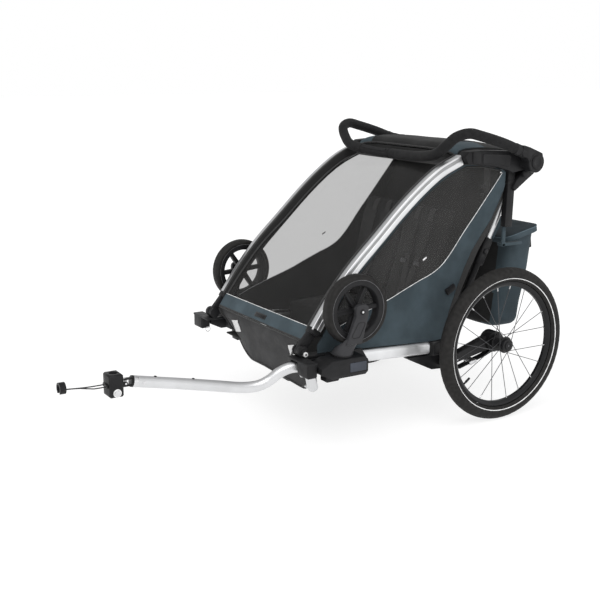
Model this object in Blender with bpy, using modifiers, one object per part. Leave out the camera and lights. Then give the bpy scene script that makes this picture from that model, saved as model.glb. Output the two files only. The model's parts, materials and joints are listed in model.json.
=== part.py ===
"""Two-seat child bike trailer with a folding frame, stowed stroller wheels and a side hitch arm.

Metres, +Z up. The trailer drives towards -Y, and its own left side is +X. Every shape is made in
the axle frame, whose origin is on the ground under the middle of the rear axle, and all of them
hang on one empty that moves that frame so that the object's box is centred on the world's origin.
"""
import bpy
import bmesh
from math import atan2, cos, pi, radians, sin
from mathutils import Matrix, Vector

for old in list(bpy.data.objects):
    bpy.data.objects.remove(old)

# Fits
GAP = 0.0003
RUNNING_GAP = 0.0003
FABRIC = 0.003
ROUND_SIDES = 16
PIN_SIDES = 12
PIN_LIMIT = 0.0145

# Floor frame
RAIL_X = 0.280
RAIL_WIDTH = 0.036
CORNER_INNER_X = RAIL_X - RAIL_WIDTH / 2
CORNER_OUTER_X = RAIL_X + RAIL_WIDTH / 2 + 0.004
RAIL_HEIGHT = 0.040
RAIL_REAR_Y = -0.2303
RAIL_FRONT_Y = -0.620
RAIL_REAR_Z = 0.252
RAIL_RISE = 0.050
RAIL_EDGE = 0.010
FLOOR_Z = 0.236
FLOOR_THICKNESS = 0.006
FLOOR_CLEARANCE = 0.0005
FLOOR_HALF_WIDTH = CORNER_INNER_X - FLOOR_CLEARANCE
FLOOR_FRONT_Y = -0.672
CROSSBAR_Y = -0.600
CROSSBAR_Z = 0.2215
CROSSBAR_RADIUS = 0.0135
REAR_BEAM_Y = -0.155
REAR_BEAM_DEPTH = 0.040
REAR_BEAM_BOTTOM = 0.2015
REAR_BEAM_TOP = 0.2355
REAR_CASTING_END_Y = -0.130
REAR_CASTING_BOTTOM = 0.224
REAR_CASTING_TOP = 0.272

# Rear wheels, 20 x 1.75
WHEEL_RADIUS = 0.250
WHEEL_X = RAIL_X + 0.086
WHEEL_STEPS = 32
TYRE_TUBE_RADIUS = 0.0235
TYRE_SEAT_DEPTH = 0.0035
RIM_RADIUS = WHEEL_RADIUS - 2 * TYRE_TUBE_RADIUS + TYRE_SEAT_DEPTH
RIM_DEPTH = 0.0165
RIM_HALF_WIDTH = 0.0125
SPOKE_COUNT = 20
SPOKE_RADIUS = 0.0011
SPOKE_TANGENT_DEG = 62.0
HUB_RADIUS = 0.014
HUB_FLANGE_RADIUS = 0.027
HUB_FLANGE_THICKNESS = 0.003
HUB_FLANGE_SPREAD = 0.034
HUB_CAP_RADIUS = 0.0215
HUB_CAP_DEPTH = 0.009
HUB_CAP_FACE_X = WHEEL_X + 0.031
AXLE_RADIUS = 0.0075
WHEEL_BUTTON_RADIUS = 0.0135
WHEEL_BUTTON_PROUD = 0.003
WHEEL_BUTTON_TRAVEL = 0.004

# Suspension
ARM_PIVOT = (-0.185, 0.203)
ARM_PIVOT_PIN_RADIUS = 0.006
ARM_PIVOT_EYE_RADIUS = 0.019
ARM_INNER_X = WHEEL_X - 0.066
ARM_THICKNESS = 0.026
HUB_CARRIER_RADIUS = 0.034
HUB_CARRIER_INNER_X = ARM_INNER_X - 0.003
HUB_CARRIER_OUTER_X = WHEEL_X - 0.029
LEAF_THICKNESS = 0.004
LEAF_DROP = 0.034
ADJUSTER_LENGTH = 0.030
ADJUSTER_WALL = 0.004
ADJUSTER_SLACK = 0.0006

# Front corners and the pivots of the front frame
FRAME_PIVOT = (-0.712, 0.312)
FRAME_PIVOT_PIN_RADIUS = 0.005
FRAME_EAR_RADIUS = 0.0168
FRAME_LUG_RADIUS = 0.0150
FRAME_LUG_HALF = 0.008
CORNER_PLATE_BOTTOM = 0.289
CORNER_PLATE_TOP = 0.2958
CORNER_FRONT_Y = -0.742

# Front frame, roof and cover
TUBE_X = RAIL_X - 0.002
TUBE_WIDTH = 0.032
TUBE_HEIGHT = 0.036
TUBE_CORNER = 0.012
TUBE_LINE = [(-0.663, 0.365), (-0.600, 0.452), (-0.529, 0.533), (-0.440, 0.616), (-0.356, 0.694),
             (-0.282, 0.755), (-0.206, 0.806), (-0.130, 0.8386)]
COVER_CLEARANCE = 0.0005
COVER_HALF_WIDTH = TUBE_X - TUBE_WIDTH / 2 - COVER_CLEARANCE
COVER_LINE = [(-0.694, 0.338), (-0.668, 0.374), (-0.604, 0.456), (-0.530, 0.537), (-0.440, 0.614),
              (-0.356, 0.690), (-0.282, 0.749), (-0.206, 0.797), (-0.155, 0.816), (-0.1375, 0.826),
              (-0.1345, 0.843)]
ROOF_LINE = [(-0.1295, 0.8620), (-0.124, 0.877), (-0.108, 0.886), (-0.060, 0.889), (0.000, 0.886),
             (0.060, 0.878), (0.105, 0.868)]
ROOF_SIDE_DROP = 0.018
TOP_PIECE_INNER_X = TUBE_X - 0.012
TOP_PIECE_OUTER_X = TUBE_X + 0.034
ROOF_CLEARANCE = 0.0004
ROOF_HALF_WIDTH = TOP_PIECE_INNER_X - ROOF_CLEARANCE
TOP_BAR_POINT = (-0.060, 0.842)
TOP_BAR_RADIUS = 0.012
STRUT_LINE = [(0.066, 0.800), (0.094, 0.800), (0.0905, 0.612), (0.080, 0.606), (0.080, 0.5475),
              (0.066, 0.5475), (0.060, 0.606), (0.054, 0.612)]

# Handlebar
HUB_POINT = (0.127, 0.825)
HUB_END_RADIUS = 0.033
HUB_END_INNER_X = TOP_PIECE_OUTER_X + 0.0065
HUB_END_OUTER_X = HUB_END_INNER_X + 0.0355
HUB_PIN_RADIUS = 0.012
HUB_BUTTON_RADIUS = 0.022
HUB_BUTTON_DEPTH = 0.006
HUB_BUTTON_PROUD = 0.003
HUB_BUTTON_TRAVEL = 0.003
BAR_RADIUS = 0.0165
BAR_X = (HUB_END_INNER_X + HUB_END_OUTER_X) / 2
BAR_LINE = [(BAR_X, 0.098, 0.852), (BAR_X, 0.001, 0.888), (BAR_X - 0.005, -0.089, 0.914),
            (BAR_X - 0.012, -0.133, 0.923), (BAR_X - 0.030, -0.170, 0.911), (BAR_X - 0.064, -0.184, 0.880),
            (BAR_X - 0.112, -0.187, 0.854), (0.110, -0.1715, 0.8405), (0.0, -0.162, 0.838)]

# Rear frame, hung from the top pieces, its feet hooked on the rear crossmember's pins
REAR_TOP = (0.128, 0.770)
REAR_FOOT = (-0.123, 0.270)
REAR_FRAME_X = TOP_PIECE_INNER_X - 0.021
REAR_FRAME_RADIUS = 0.0125
REAR_LEG_RADIUS = 0.0118
REAR_PIN_RADIUS = 0.005
REAR_EYE_RADIUS = 0.016
LATCH_SHARE = 0.472
LATCH_LENGTH = 0.095
LATCH_HALF_WIDTH = 0.0165
LATCH_BUTTON_RADIUS = 0.009
LATCH_BUTTON_PROUD = 0.004
LATCH_BUTTON_TRAVEL = 0.003

# Stroller wheels, stowed with the wheel up
CASTER_X = RAIL_X + 0.069
CASTER_FLIP_Z = 0.2690
CASTER_WHEEL_Y = -0.564
CASTER_WHEEL_Z = 0.4316
CASTER_RADIUS = 0.1055
CASTER_STEPS = 24
CASTER_HALF_WIDTH = 0.020
CASTER_RIM_RADIUS = 0.0905
CASTER_RIM_INNER = 0.0705
CASTER_RIM_HALF_WIDTH = 0.0175
CASTER_SPOKES = 6
CASTER_HUB_RADIUS = 0.016
CASTER_BOLT_RADIUS = 0.005
SWIVEL_Y = -0.609
SWIVEL_SPINDLE_RADIUS = 0.008
TURRET_RADIUS = 0.030
TURRET_HEIGHT = 0.013
LEG_INNER_X = CASTER_X + 0.0245
LEG_THICKNESS = 0.0145
LEG_HEAD_RADIUS = 0.019
HOUSING_INNER_X = CASTER_X - 0.0375
HOUSING_OUTER_X = CASTER_X + 0.0375
HOUSING_FRONT_Y = -0.703
HOUSING_REAR_Y = -0.541
HOUSING_HALF_HEIGHT = 0.030
HOUSING_EDGE = 0.012
FLIP_PIN_RADIUS = 0.007
FLIP_PIN_REAR_Y = -0.553
FLIP_BUTTON_LENGTH = 0.058
FLIP_BUTTON_TRAVEL = 0.003

# Hitch arm, on the trailer's left side
ARM_RADIUS = 0.0165
ARM_LINE = [(0.2205, -1.213, 0.286), (0.224, -1.080, 0.258),
            (0.231, -0.960, 0.232), (0.240, -0.885, 0.217), (0.250, -0.837, 0.217),
            (0.260, -0.806, 0.230), (0.271, -0.780, 0.251), (0.281, -0.755, 0.264),
            (0.287, -0.728, 0.267), (0.288, -0.702, 0.262), (0.288, -0.684, 0.246),
            (0.287, -0.677, 0.222), (0.283, -0.671, 0.202), (0.270, -0.660, 0.190),
            (0.250, -0.650, 0.186), (0.225, -0.645, 0.186)]
TAIL_POINT = (-0.645, 0.186)
TAIL_END_X = 0.085
SADDLE_X = 0.2863
SADDLE_HALF_WIDTH = 0.0221
SADDLE_FRONT_Y = -0.735
SADDLE_REAR_Y = -0.660
SADDLE_WALL = 0.0030
SADDLE_BOTTOM = 0.2450
HITCH_X = 0.2205
HITCH_Z = 0.286
NECK_SHANK_RADIUS = 0.0122
NECK_SHANK_LENGTH = 0.050
NECK_BORE_CLEARANCE = 0.0004
YAW_Y = -1.237
YOKE_HALF_WIDTH = 0.0063
YOKE_GAP = 0.0075
YOKE_PLATE = 0.004
KNUCKLE_HALF = 0.007
KNUCKLE_PIN_RADIUS = 0.003
CHEEK_INNER = 0.0105
CHEEK_OUTER = 0.016
COUPLER_REAR_Y = -1.247
COUPLER_FRONT_Y = -1.288
COUPLER_HALF_WIDTH = 0.025
COUPLER_BELOW = 0.032
COUPLER_ABOVE = 0.032
SOCKET_RADIUS = 0.012
SOCKET_DEPTH = 0.030
LOCK_PIN_RADIUS = 0.004
LOCK_PIN_HEAD_RADIUS = 0.0085
LOCK_PIN_Z = 0.2665
LOCK_PIN_Y = -1.2665
SNAP_BUTTON_RADIUS = 0.0055
SNAP_BUTTON_Y = -1.184
SNAP_BUTTON_TRAVEL = 0.003
STAY_CLIP_Y = -1.412
STAY_CLIP_WIDTH = 0.017
STAY_CLIP_RADIUS = 0.0165
STAY_CLIP_BORE = 0.0115
STAY_WIRE_RADIUS = 0.0017

# Body shell and seats
NOSE_HALF_WIDTH = CORNER_INNER_X - 0.0008
NOSE_FLAT_HALF_WIDTH = 0.190
NOSE_TOP = (-0.6965, 0.3345)
NOSE_LIP_Z = 0.168
NOSE_LIP_Y = -0.668
NOSE_CORNER_Z = 0.236
SIDE_PANEL_X = RAIL_X + 0.007
REAR_PANEL_HALF_WIDTH = SIDE_PANEL_X - FABRIC / 2 - GAP
REAR_PANEL_LINE = [(-0.163, 0.277), (-0.105, 0.436), (-0.052, 0.555), (0.000, 0.668), (0.053, 0.786)]
BENCH_HALF_WIDTH = 0.228
BENCH_FRONT_Y = -0.440
BENCH_REAR_Y = -0.180
BENCH_HEIGHT = 0.100
BENCH_CROWN = 0.18
SEAT_WIDTH = 0.220
SEAT_GAP = 0.008
SEAT_BACK_LENGTH = 0.350
SEAT_BACK_THICKNESS = 0.030
SEAT_BACK_CROWN = 0.35
SEAT_PIVOT = (-0.208, 0.3387)
SEAT_BACK_LEAN_DEG = 17.5

# Cargo bag and parking brake
BAG_HALF_WIDTH = TOP_PIECE_INNER_X - 0.014
BAG_TOP_FRONT = (0.100, 0.566)
BAG_TOP_REAR = (0.247, 0.598)
BAG_BOTTOM_REAR = (0.200, 0.262)
BAG_BOTTOM_FRONT = (0.080, 0.262)
BAG_TAPER = 0.020
BAG_CORNER = 0.035
LID_THICKNESS = 0.006
LID_OVERHANG = 0.005
PEDAL_PIVOT = (-0.112, 0.212)
PEDAL_HALF_WIDTH = 0.055
PEDAL_LENGTH = 0.140
PEDAL_PIN_RADIUS = 0.004
PEDAL_LUG_X = 0.048
PEDAL_LUG_THICKNESS = 0.010

FRONT_REACH = STAY_CLIP_Y - STAY_CLIP_WIDTH / 2
REAR_REACH = BAG_TOP_REAR[0] + LID_OVERHANG + 0.0005
ORIGIN_Y = -(FRONT_REACH + REAR_REACH) / 2

COLOURS = {
    "aluminium": ((0.80, 0.81, 0.82), 0.28, 1.0),
    "black_plastic": ((0.018, 0.018, 0.020), 0.55, 0.0),
    "black_metal": ((0.015, 0.015, 0.016), 0.40, 0.6),
    "rubber": ((0.024, 0.022, 0.021), 0.80, 0.0),
    "slate_fabric": ((0.070, 0.098, 0.115), 0.90, 0.0),
    "dark_fabric": ((0.035, 0.034, 0.034), 0.92, 0.0),
    "grey_fabric": ((0.060, 0.060, 0.061), 0.90, 0.0),
    "foam": ((0.020, 0.020, 0.021), 0.85, 0.0),
    "steel": ((0.62, 0.62, 0.63), 0.30, 1.0),
}


# Shapes, each a mesh in the axle frame

def scratch(mesh):
    obj = bpy.data.objects.new("scratch", mesh)
    bpy.context.scene.collection.objects.link(obj)
    return obj


def settled(obj):
    """The object's evaluated mesh in the axle frame. The object and its data are removed."""
    bpy.context.view_layer.update()
    graph = bpy.context.evaluated_depsgraph_get()
    mesh = bpy.data.meshes.new_from_object(obj.evaluated_get(graph))
    mesh.transform(obj.matrix_world)
    data = obj.data
    bpy.data.objects.remove(obj)
    if isinstance(data, bpy.types.Curve):
        bpy.data.curves.remove(data)
    else:
        bpy.data.meshes.remove(data)
    return mesh


def tidied(mesh, outward=True):
    """Weld the seams that curves and turned shapes leave, and face everything outwards."""
    shape = bmesh.new()
    shape.from_mesh(mesh)
    bmesh.ops.remove_doubles(shape, verts=shape.verts, dist=0.000002)
    if outward:
        bmesh.ops.recalc_face_normals(shape, faces=shape.faces)
    shape.to_mesh(mesh)
    shape.free()
    return mesh


def as_mesh(shape):
    mesh = bpy.data.meshes.new("shape")
    shape.to_mesh(mesh)
    shape.free()
    return mesh


def box(low, high, bevel=0.0, segments=2, tilt=0.0):
    """A box between two corners, its edges rounded, turned by tilt about X through its centre."""
    size = [b - a for a, b in zip(low, high)]
    centre = [(a + b) / 2 for a, b in zip(low, high)]
    shape = bmesh.new()
    bmesh.ops.create_cube(shape, size=1.0)
    bmesh.ops.scale(shape, vec=size, verts=shape.verts)
    if bevel:
        bmesh.ops.bevel(shape, geom=shape.edges[:], offset=bevel, segments=segments, affect="EDGES",
                        profile=0.5)
    shape.transform(Matrix.Translation(centre) @ Matrix.Rotation(tilt, 4, "X"))
    return as_mesh(shape)


def rod(start, end, radius, end_radius=None, sides=None):
    """A cylinder or cone between two points, with fewer sides where it is no thicker than a pin."""
    sides = sides or (PIN_SIDES if radius < PIN_LIMIT else ROUND_SIDES)
    start = Vector(start)
    run = Vector(end) - start
    shape = bmesh.new()
    bmesh.ops.create_cone(shape, cap_ends=True, segments=sides, radius1=radius,
                          radius2=radius if end_radius is None else end_radius, depth=run.length)
    turn = run.to_track_quat("Z", "Y").to_matrix().to_4x4()
    shape.transform(Matrix.Translation(start + run / 2) @ turn)
    return as_mesh(shape)


def ring(profile, centre, steps):
    """A closed profile of (offset along X, radius) turned about an X axis through centre."""
    mesh = bpy.data.meshes.new("profile")
    edges = [(i, (i + 1) % len(profile)) for i in range(len(profile))]
    mesh.from_pydata([(radius, 0.0, offset) for offset, radius in profile], edges, [])
    obj = scratch(mesh)
    screw = obj.modifiers.new("Screw", "SCREW")
    screw.steps = screw.render_steps = steps
    screw.use_merge_vertices = True
    screw.merge_threshold = 0.00001
    obj.matrix_world = Matrix.Translation(centre) @ Matrix.Rotation(pi / 2, 4, "Y")
    return tidied(settled(obj))


def smooth_line(points, steps):
    """Points along a smooth curve through the given ones, steps to each stretch."""
    points = [Vector(p) for p in points]
    padded = [2 * points[0] - points[1]] + points + [2 * points[-1] - points[-2]]
    line = []
    for before, start, end, after in zip(padded, padded[1:], padded[2:], padded[3:]):
        for step in range(steps):
            t = step / steps
            line.append(0.5 * (2 * start + (end - before) * t
                               + (2 * before - 5 * start + 4 * end - after) * t ** 2
                               + (3 * start - before - 3 * end + after) * t ** 3))
    return line + [points[-1]]


def pipe(points, radius, resolution=2, section=None):
    """A round tube along points, or one with the given section, a closed list of (x, y)."""
    curve = bpy.data.curves.new("pipe", "CURVE")
    curve.dimensions = "3D"
    spline = curve.splines.new("POLY")
    spline.points.add(len(points) - 1)
    for point, place in zip(spline.points, points):
        point.co = (*place, 1.0)
    curve.use_fill_caps = True
    guide = None
    if section:
        guide = section_guide(section)
        curve.bevel_mode = "OBJECT"
        curve.bevel_object = guide
        curve.twist_mode = "Z_UP"
    else:
        curve.bevel_depth = radius
        curve.bevel_resolution = resolution
    mesh = tidied(settled(scratch(curve)))
    if guide:
        data = guide.data
        bpy.data.objects.remove(guide)
        bpy.data.curves.remove(data)
    return mesh


def section_guide(section):
    curve = bpy.data.curves.new("section", "CURVE")
    curve.dimensions = "2D"
    spline = curve.splines.new("POLY")
    spline.points.add(len(section) - 1)
    for point, place in zip(spline.points, section):
        point.co = (*place, 0.0, 1.0)
    spline.use_cyclic_u = True
    return scratch(curve)


def rounded(corners, steps=3):
    """An outline of corners (a, b, radius), each corner rounded off by an arc."""
    outline = []
    count = len(corners)
    for i, (a, b, radius) in enumerate(corners):
        here = Vector((a, b))
        to_last = Vector(corners[i - 1][:2]) - here
        to_next = Vector(corners[(i + 1) % count][:2]) - here
        if not radius:
            outline.append((a, b))
            continue
        half = to_last.angle(to_next) / 2
        reach = min(radius / abs(sin(half) / cos(half)), 0.49 * min(to_last.length, to_next.length))
        start = here + to_last.normalized() * reach
        end = here + to_next.normalized() * reach
        for step in range(steps + 1):
            t = step / steps
            outline.append(tuple((1 - t) ** 2 * start + 2 * t * (1 - t) * here + t ** 2 * end))
    return outline


def plate(outline, low_x, high_x):
    """A flat outline of (y, z) points, as thick as low_x to high_x."""
    curve = bpy.data.curves.new("outline", "CURVE")
    curve.dimensions = "2D"
    curve.fill_mode = "BOTH"
    curve.extrude = (high_x - low_x) / 2
    spline = curve.splines.new("POLY")
    spline.points.add(len(outline) - 1)
    for point, place in zip(spline.points, outline):
        point.co = (*place, 0.0, 1.0)
    spline.use_cyclic_u = True
    obj = scratch(curve)
    side_on = Matrix(((0, 0, 1, (low_x + high_x) / 2), (1, 0, 0, 0), (0, 1, 0, 0), (0, 0, 0, 1)))
    obj.matrix_world = side_on
    return tidied(settled(obj))


def sheet(rows, thickness, offset=0.0):
    """A cloth or panel: a grid of points given as rows, thickened about its surface."""
    shape = bmesh.new()
    grid = [[shape.verts.new(point) for point in row] for row in rows]
    for row, following in zip(grid, grid[1:]):
        for i in range(len(row) - 1):
            shape.faces.new((row[i], row[i + 1], following[i + 1], following[i]))
    obj = scratch(as_mesh(shape))
    solidify = obj.modifiers.new("Solidify", "SOLIDIFY")
    solidify.thickness = thickness
    solidify.offset = offset
    solidify.use_even_offset = True
    return tidied(settled(obj))


def combined(base, other, operation):
    target = scratch(base)
    tool = scratch(other)
    boolean = target.modifiers.new("Boolean", "BOOLEAN")
    boolean.solver = "EXACT"
    boolean.operation = operation
    boolean.object = tool
    result = settled(target)
    bpy.data.objects.remove(tool)
    bpy.data.meshes.remove(other)
    return result


def joined(base, *others):
    for other in others:
        base = combined(base, other, "UNION")
    return base


def cut(base, *cutters):
    for cutter in cutters:
        base = combined(base, cutter, "DIFFERENCE")
    return base


def mirrored(mesh):
    mesh.transform(Matrix.Scale(-1, 4, (1, 0, 0)))
    mesh.flip_normals()
    return mesh


def polar(radius, angle):
    return radius * cos(angle), radius * sin(angle)


# Rear wheels

def tyre():
    """A round tube cut flat where it sits on the rim."""
    middle = WHEEL_RADIUS - TYRE_TUBE_RADIUS
    seat = RIM_RADIUS + GAP
    half_angle = atan2((TYRE_TUBE_RADIUS ** 2 - (middle - seat) ** 2) ** 0.5, middle - seat)
    steps = 7
    profile = []
    for i in range(steps):
        angle = -pi / 2 + half_angle + (2 * pi - 2 * half_angle) * i / (steps - 1)
        across, out = polar(TYRE_TUBE_RADIUS, angle)
        profile.append((across, middle + out))
    return ring(profile, (WHEEL_X, 0, WHEEL_RADIUS), WHEEL_STEPS)


def rim():
    inner = RIM_RADIUS - RIM_DEPTH
    half = RIM_HALF_WIDTH
    profile = [(-half, RIM_RADIUS), (half, RIM_RADIUS), (half, RIM_RADIUS - 0.006), (0, inner),
               (-half, RIM_RADIUS - 0.006)]
    return ring(profile, (WHEEL_X, 0, WHEEL_RADIUS), WHEEL_STEPS)


def wheel():
    """Rim, crossed spokes and hub, laced into one piece."""
    centre = Vector((0, 0, WHEEL_RADIUS))
    inner_x = WHEEL_X - HUB_FLANGE_SPREAD / 2
    outer_x = WHEEL_X + HUB_FLANGE_SPREAD / 2
    shell_start = inner_x - HUB_FLANGE_THICKNESS
    shape = rod((shell_start, 0, WHEEL_RADIUS), (HUB_CAP_FACE_X - HUB_CAP_DEPTH, 0, WHEEL_RADIUS), HUB_RADIUS)
    for x in (inner_x, outer_x):
        low = (x - HUB_FLANGE_THICKNESS / 2, 0, WHEEL_RADIUS)
        high = (x + HUB_FLANGE_THICKNESS / 2, 0, WHEEL_RADIUS)
        shape = joined(shape, rod(low, high, HUB_FLANGE_RADIUS))
    cap_start = (HUB_CAP_FACE_X - HUB_CAP_DEPTH - 0.001, 0, WHEEL_RADIUS)
    shape = joined(shape, rod(cap_start, (HUB_CAP_FACE_X, 0, WHEEL_RADIUS), HUB_CAP_RADIUS), rim())
    for i in range(SPOKE_COUNT):
        x = (inner_x, outer_x)[i % 2]
        lean = radians(SPOKE_TANGENT_DEG) * (1, 1, -1, -1)[i % 4]
        rim_angle = 2 * pi * (i + 0.5) / SPOKE_COUNT
        hub_y, hub_z = polar(HUB_FLANGE_RADIUS - 0.003, rim_angle + lean)
        rim_y, rim_z = polar(RIM_RADIUS - RIM_DEPTH / 2, rim_angle)
        side = (1 if lean > 0 else -1) * SPOKE_RADIUS * 1.3
        start = centre + Vector((x + side, hub_y, hub_z))
        end = centre + Vector((WHEEL_X + (x - WHEEL_X) * 0.15, rim_y, rim_z))
        shape = joined(shape, rod(start, end, SPOKE_RADIUS, sides=4))
    bore = rod((shell_start - 0.01, 0, WHEEL_RADIUS), (HUB_CAP_FACE_X + 0.01, 0, WHEEL_RADIUS),
               AXLE_RADIUS + RUNNING_GAP)
    recess_start = HUB_CAP_FACE_X - WHEEL_BUTTON_TRAVEL - 0.002
    recess = rod((recess_start, 0, WHEEL_RADIUS), (HUB_CAP_FACE_X + 0.01, 0, WHEEL_RADIUS),
                 WHEEL_BUTTON_RADIUS + GAP)
    return cut(shape, bore, recess)


def wheel_button():
    start = HUB_CAP_FACE_X - 0.0018
    end = HUB_CAP_FACE_X + WHEEL_BUTTON_PROUD
    face = rod((start, 0, WHEEL_RADIUS), (end, 0, WHEEL_RADIUS), WHEEL_BUTTON_RADIUS)
    return face


# Suspension

def arm_direction():
    run = Vector((0.0, -ARM_PIVOT[0], WHEEL_RADIUS - ARM_PIVOT[1]))
    return run.normalized(), run.length


def swing_arm():
    """Trailing arm with the hub carrier, the axle stub and the leaf under it, as one casting."""
    low_x = ARM_INNER_X
    high_x = ARM_INNER_X + ARM_THICKNESS
    pivot = Vector((0, *ARM_PIVOT))
    axle = Vector((0, 0, WHEEL_RADIUS))
    along, length = arm_direction()
    across = Vector((0, -along.z, along.y))
    corners = [(pivot + along * 0.004 + across * 0.015), (axle + across * 0.026),
               (axle - across * 0.022), (pivot + along * 0.004 - across * 0.010)]
    beam = plate([(p.y, p.z) for p in corners], low_x + 0.0006, high_x - 0.0006)
    eye = rod((low_x, *ARM_PIVOT), (high_x, *ARM_PIVOT), ARM_PIVOT_EYE_RADIUS)
    carrier = rod((HUB_CARRIER_INNER_X, 0, WHEEL_RADIUS), (HUB_CARRIER_OUTER_X, 0, WHEEL_RADIUS),
                  HUB_CARRIER_RADIUS, sides=20)
    stub_end = HUB_CAP_FACE_X - HUB_CAP_DEPTH + 0.001
    stub = rod((HUB_CARRIER_OUTER_X - 0.005, 0, WHEEL_RADIUS), (stub_end, 0, WHEEL_RADIUS), AXLE_RADIUS)
    line = [pivot - across * (ARM_PIVOT_EYE_RADIUS - LEAF_THICKNESS),
            pivot + along * length * 0.22 - across * LEAF_DROP,
            pivot + along * length * 0.78 - across * LEAF_DROP,
            axle - across * (HUB_CARRIER_RADIUS - LEAF_THICKNESS)]
    upper = [(p.y, p.z) for p in line]
    lower = [(p.y - across.y * LEAF_THICKNESS, p.z - across.z * LEAF_THICKNESS) for p in line]
    leaf = plate(upper + lower[::-1], low_x + 0.001, high_x - 0.001)
    shape = joined(beam, eye, carrier, stub, leaf)
    pin_hole = rod((low_x - 0.01, *ARM_PIVOT), (high_x + 0.01, *ARM_PIVOT), ARM_PIVOT_PIN_RADIUS + RUNNING_GAP)
    return cut(shape, pin_hole)


def leaf_middle():
    """The leaf's lowest stretch, where the adjuster sits."""
    along, length = arm_direction()
    across = Vector((0, -along.z, along.y))
    middle = Vector((0, *ARM_PIVOT)) + along * length * 0.5 - across * (LEAF_DROP + LEAF_THICKNESS / 2)
    return middle, along, across


def spring_adjuster():
    """A block that is clamped round the leaf and slides along it."""
    middle, along, across = leaf_middle()
    angle = atan2(along.z, along.y)
    half_x = ARM_THICKNESS / 2 + ADJUSTER_WALL
    centre_x = ARM_INNER_X + ARM_THICKNESS / 2
    half_z = LEAF_THICKNESS / 2 + ADJUSTER_SLACK + ADJUSTER_WALL
    low = (centre_x - half_x, middle.y - ADJUSTER_LENGTH / 2, middle.z - half_z)
    high = (centre_x + half_x, middle.y + ADJUSTER_LENGTH / 2, middle.z + half_z)
    slot_half = LEAF_THICKNESS / 2 + ADJUSTER_SLACK
    slot_low = (centre_x - ARM_THICKNESS / 2 - GAP, middle.y - ADJUSTER_LENGTH, middle.z - slot_half)
    slot_high = (centre_x + ARM_THICKNESS / 2 + GAP, middle.y + ADJUSTER_LENGTH, middle.z + slot_half)
    return cut(box(low, high, 0.002, 1, angle), box(slot_low, slot_high, 0, 0, angle))


# Floor frame

def rail_z(y):
    return RAIL_REAR_Z - RAIL_RISE * (y - RAIL_REAR_Y)


def side_rail():
    middle_y = (RAIL_FRONT_Y + RAIL_REAR_Y) / 2
    half_length = (RAIL_REAR_Y - RAIL_FRONT_Y) / 2
    middle_z = rail_z(middle_y)
    low = (RAIL_X - RAIL_WIDTH / 2, middle_y - half_length, middle_z - RAIL_HEIGHT / 2)
    high = (RAIL_X + RAIL_WIDTH / 2, middle_y + half_length, middle_z + RAIL_HEIGHT / 2)
    return box(low, high, RAIL_EDGE, 2, atan2(-RAIL_RISE, 1.0))


def front_crossbar():
    """The tube between the front corners, with two eyes that hold the hitch arm's tail."""
    reach = CORNER_INNER_X + 0.0012 - GAP
    shape = rod((-reach, CROSSBAR_Y, CROSSBAR_Z), (reach, CROSSBAR_Y, CROSSBAR_Z), CROSSBAR_RADIUS)
    tail_y, tail_z = TAIL_POINT
    eye_radius = ARM_RADIUS + 0.006
    for low_x in (0.095, 0.185):
        high_x = low_x + 0.022
        eye = rod((low_x, tail_y, tail_z), (high_x, tail_y, tail_z), eye_radius)
        web = plate([(tail_y - 0.004, tail_z + 0.002), (CROSSBAR_Y - 0.004, CROSSBAR_Z + 0.010),
                     (CROSSBAR_Y + 0.004, CROSSBAR_Z - 0.010), (tail_y + 0.006, tail_z - 0.018)],
                    low_x, high_x)
        bore = rod((low_x - 0.01, tail_y, tail_z), (high_x + 0.01, tail_y, tail_z),
                   ARM_RADIUS + RUNNING_GAP, sides=24)
        shape = joined(shape, cut(joined(eye, web), bore))
    return shape


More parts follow.
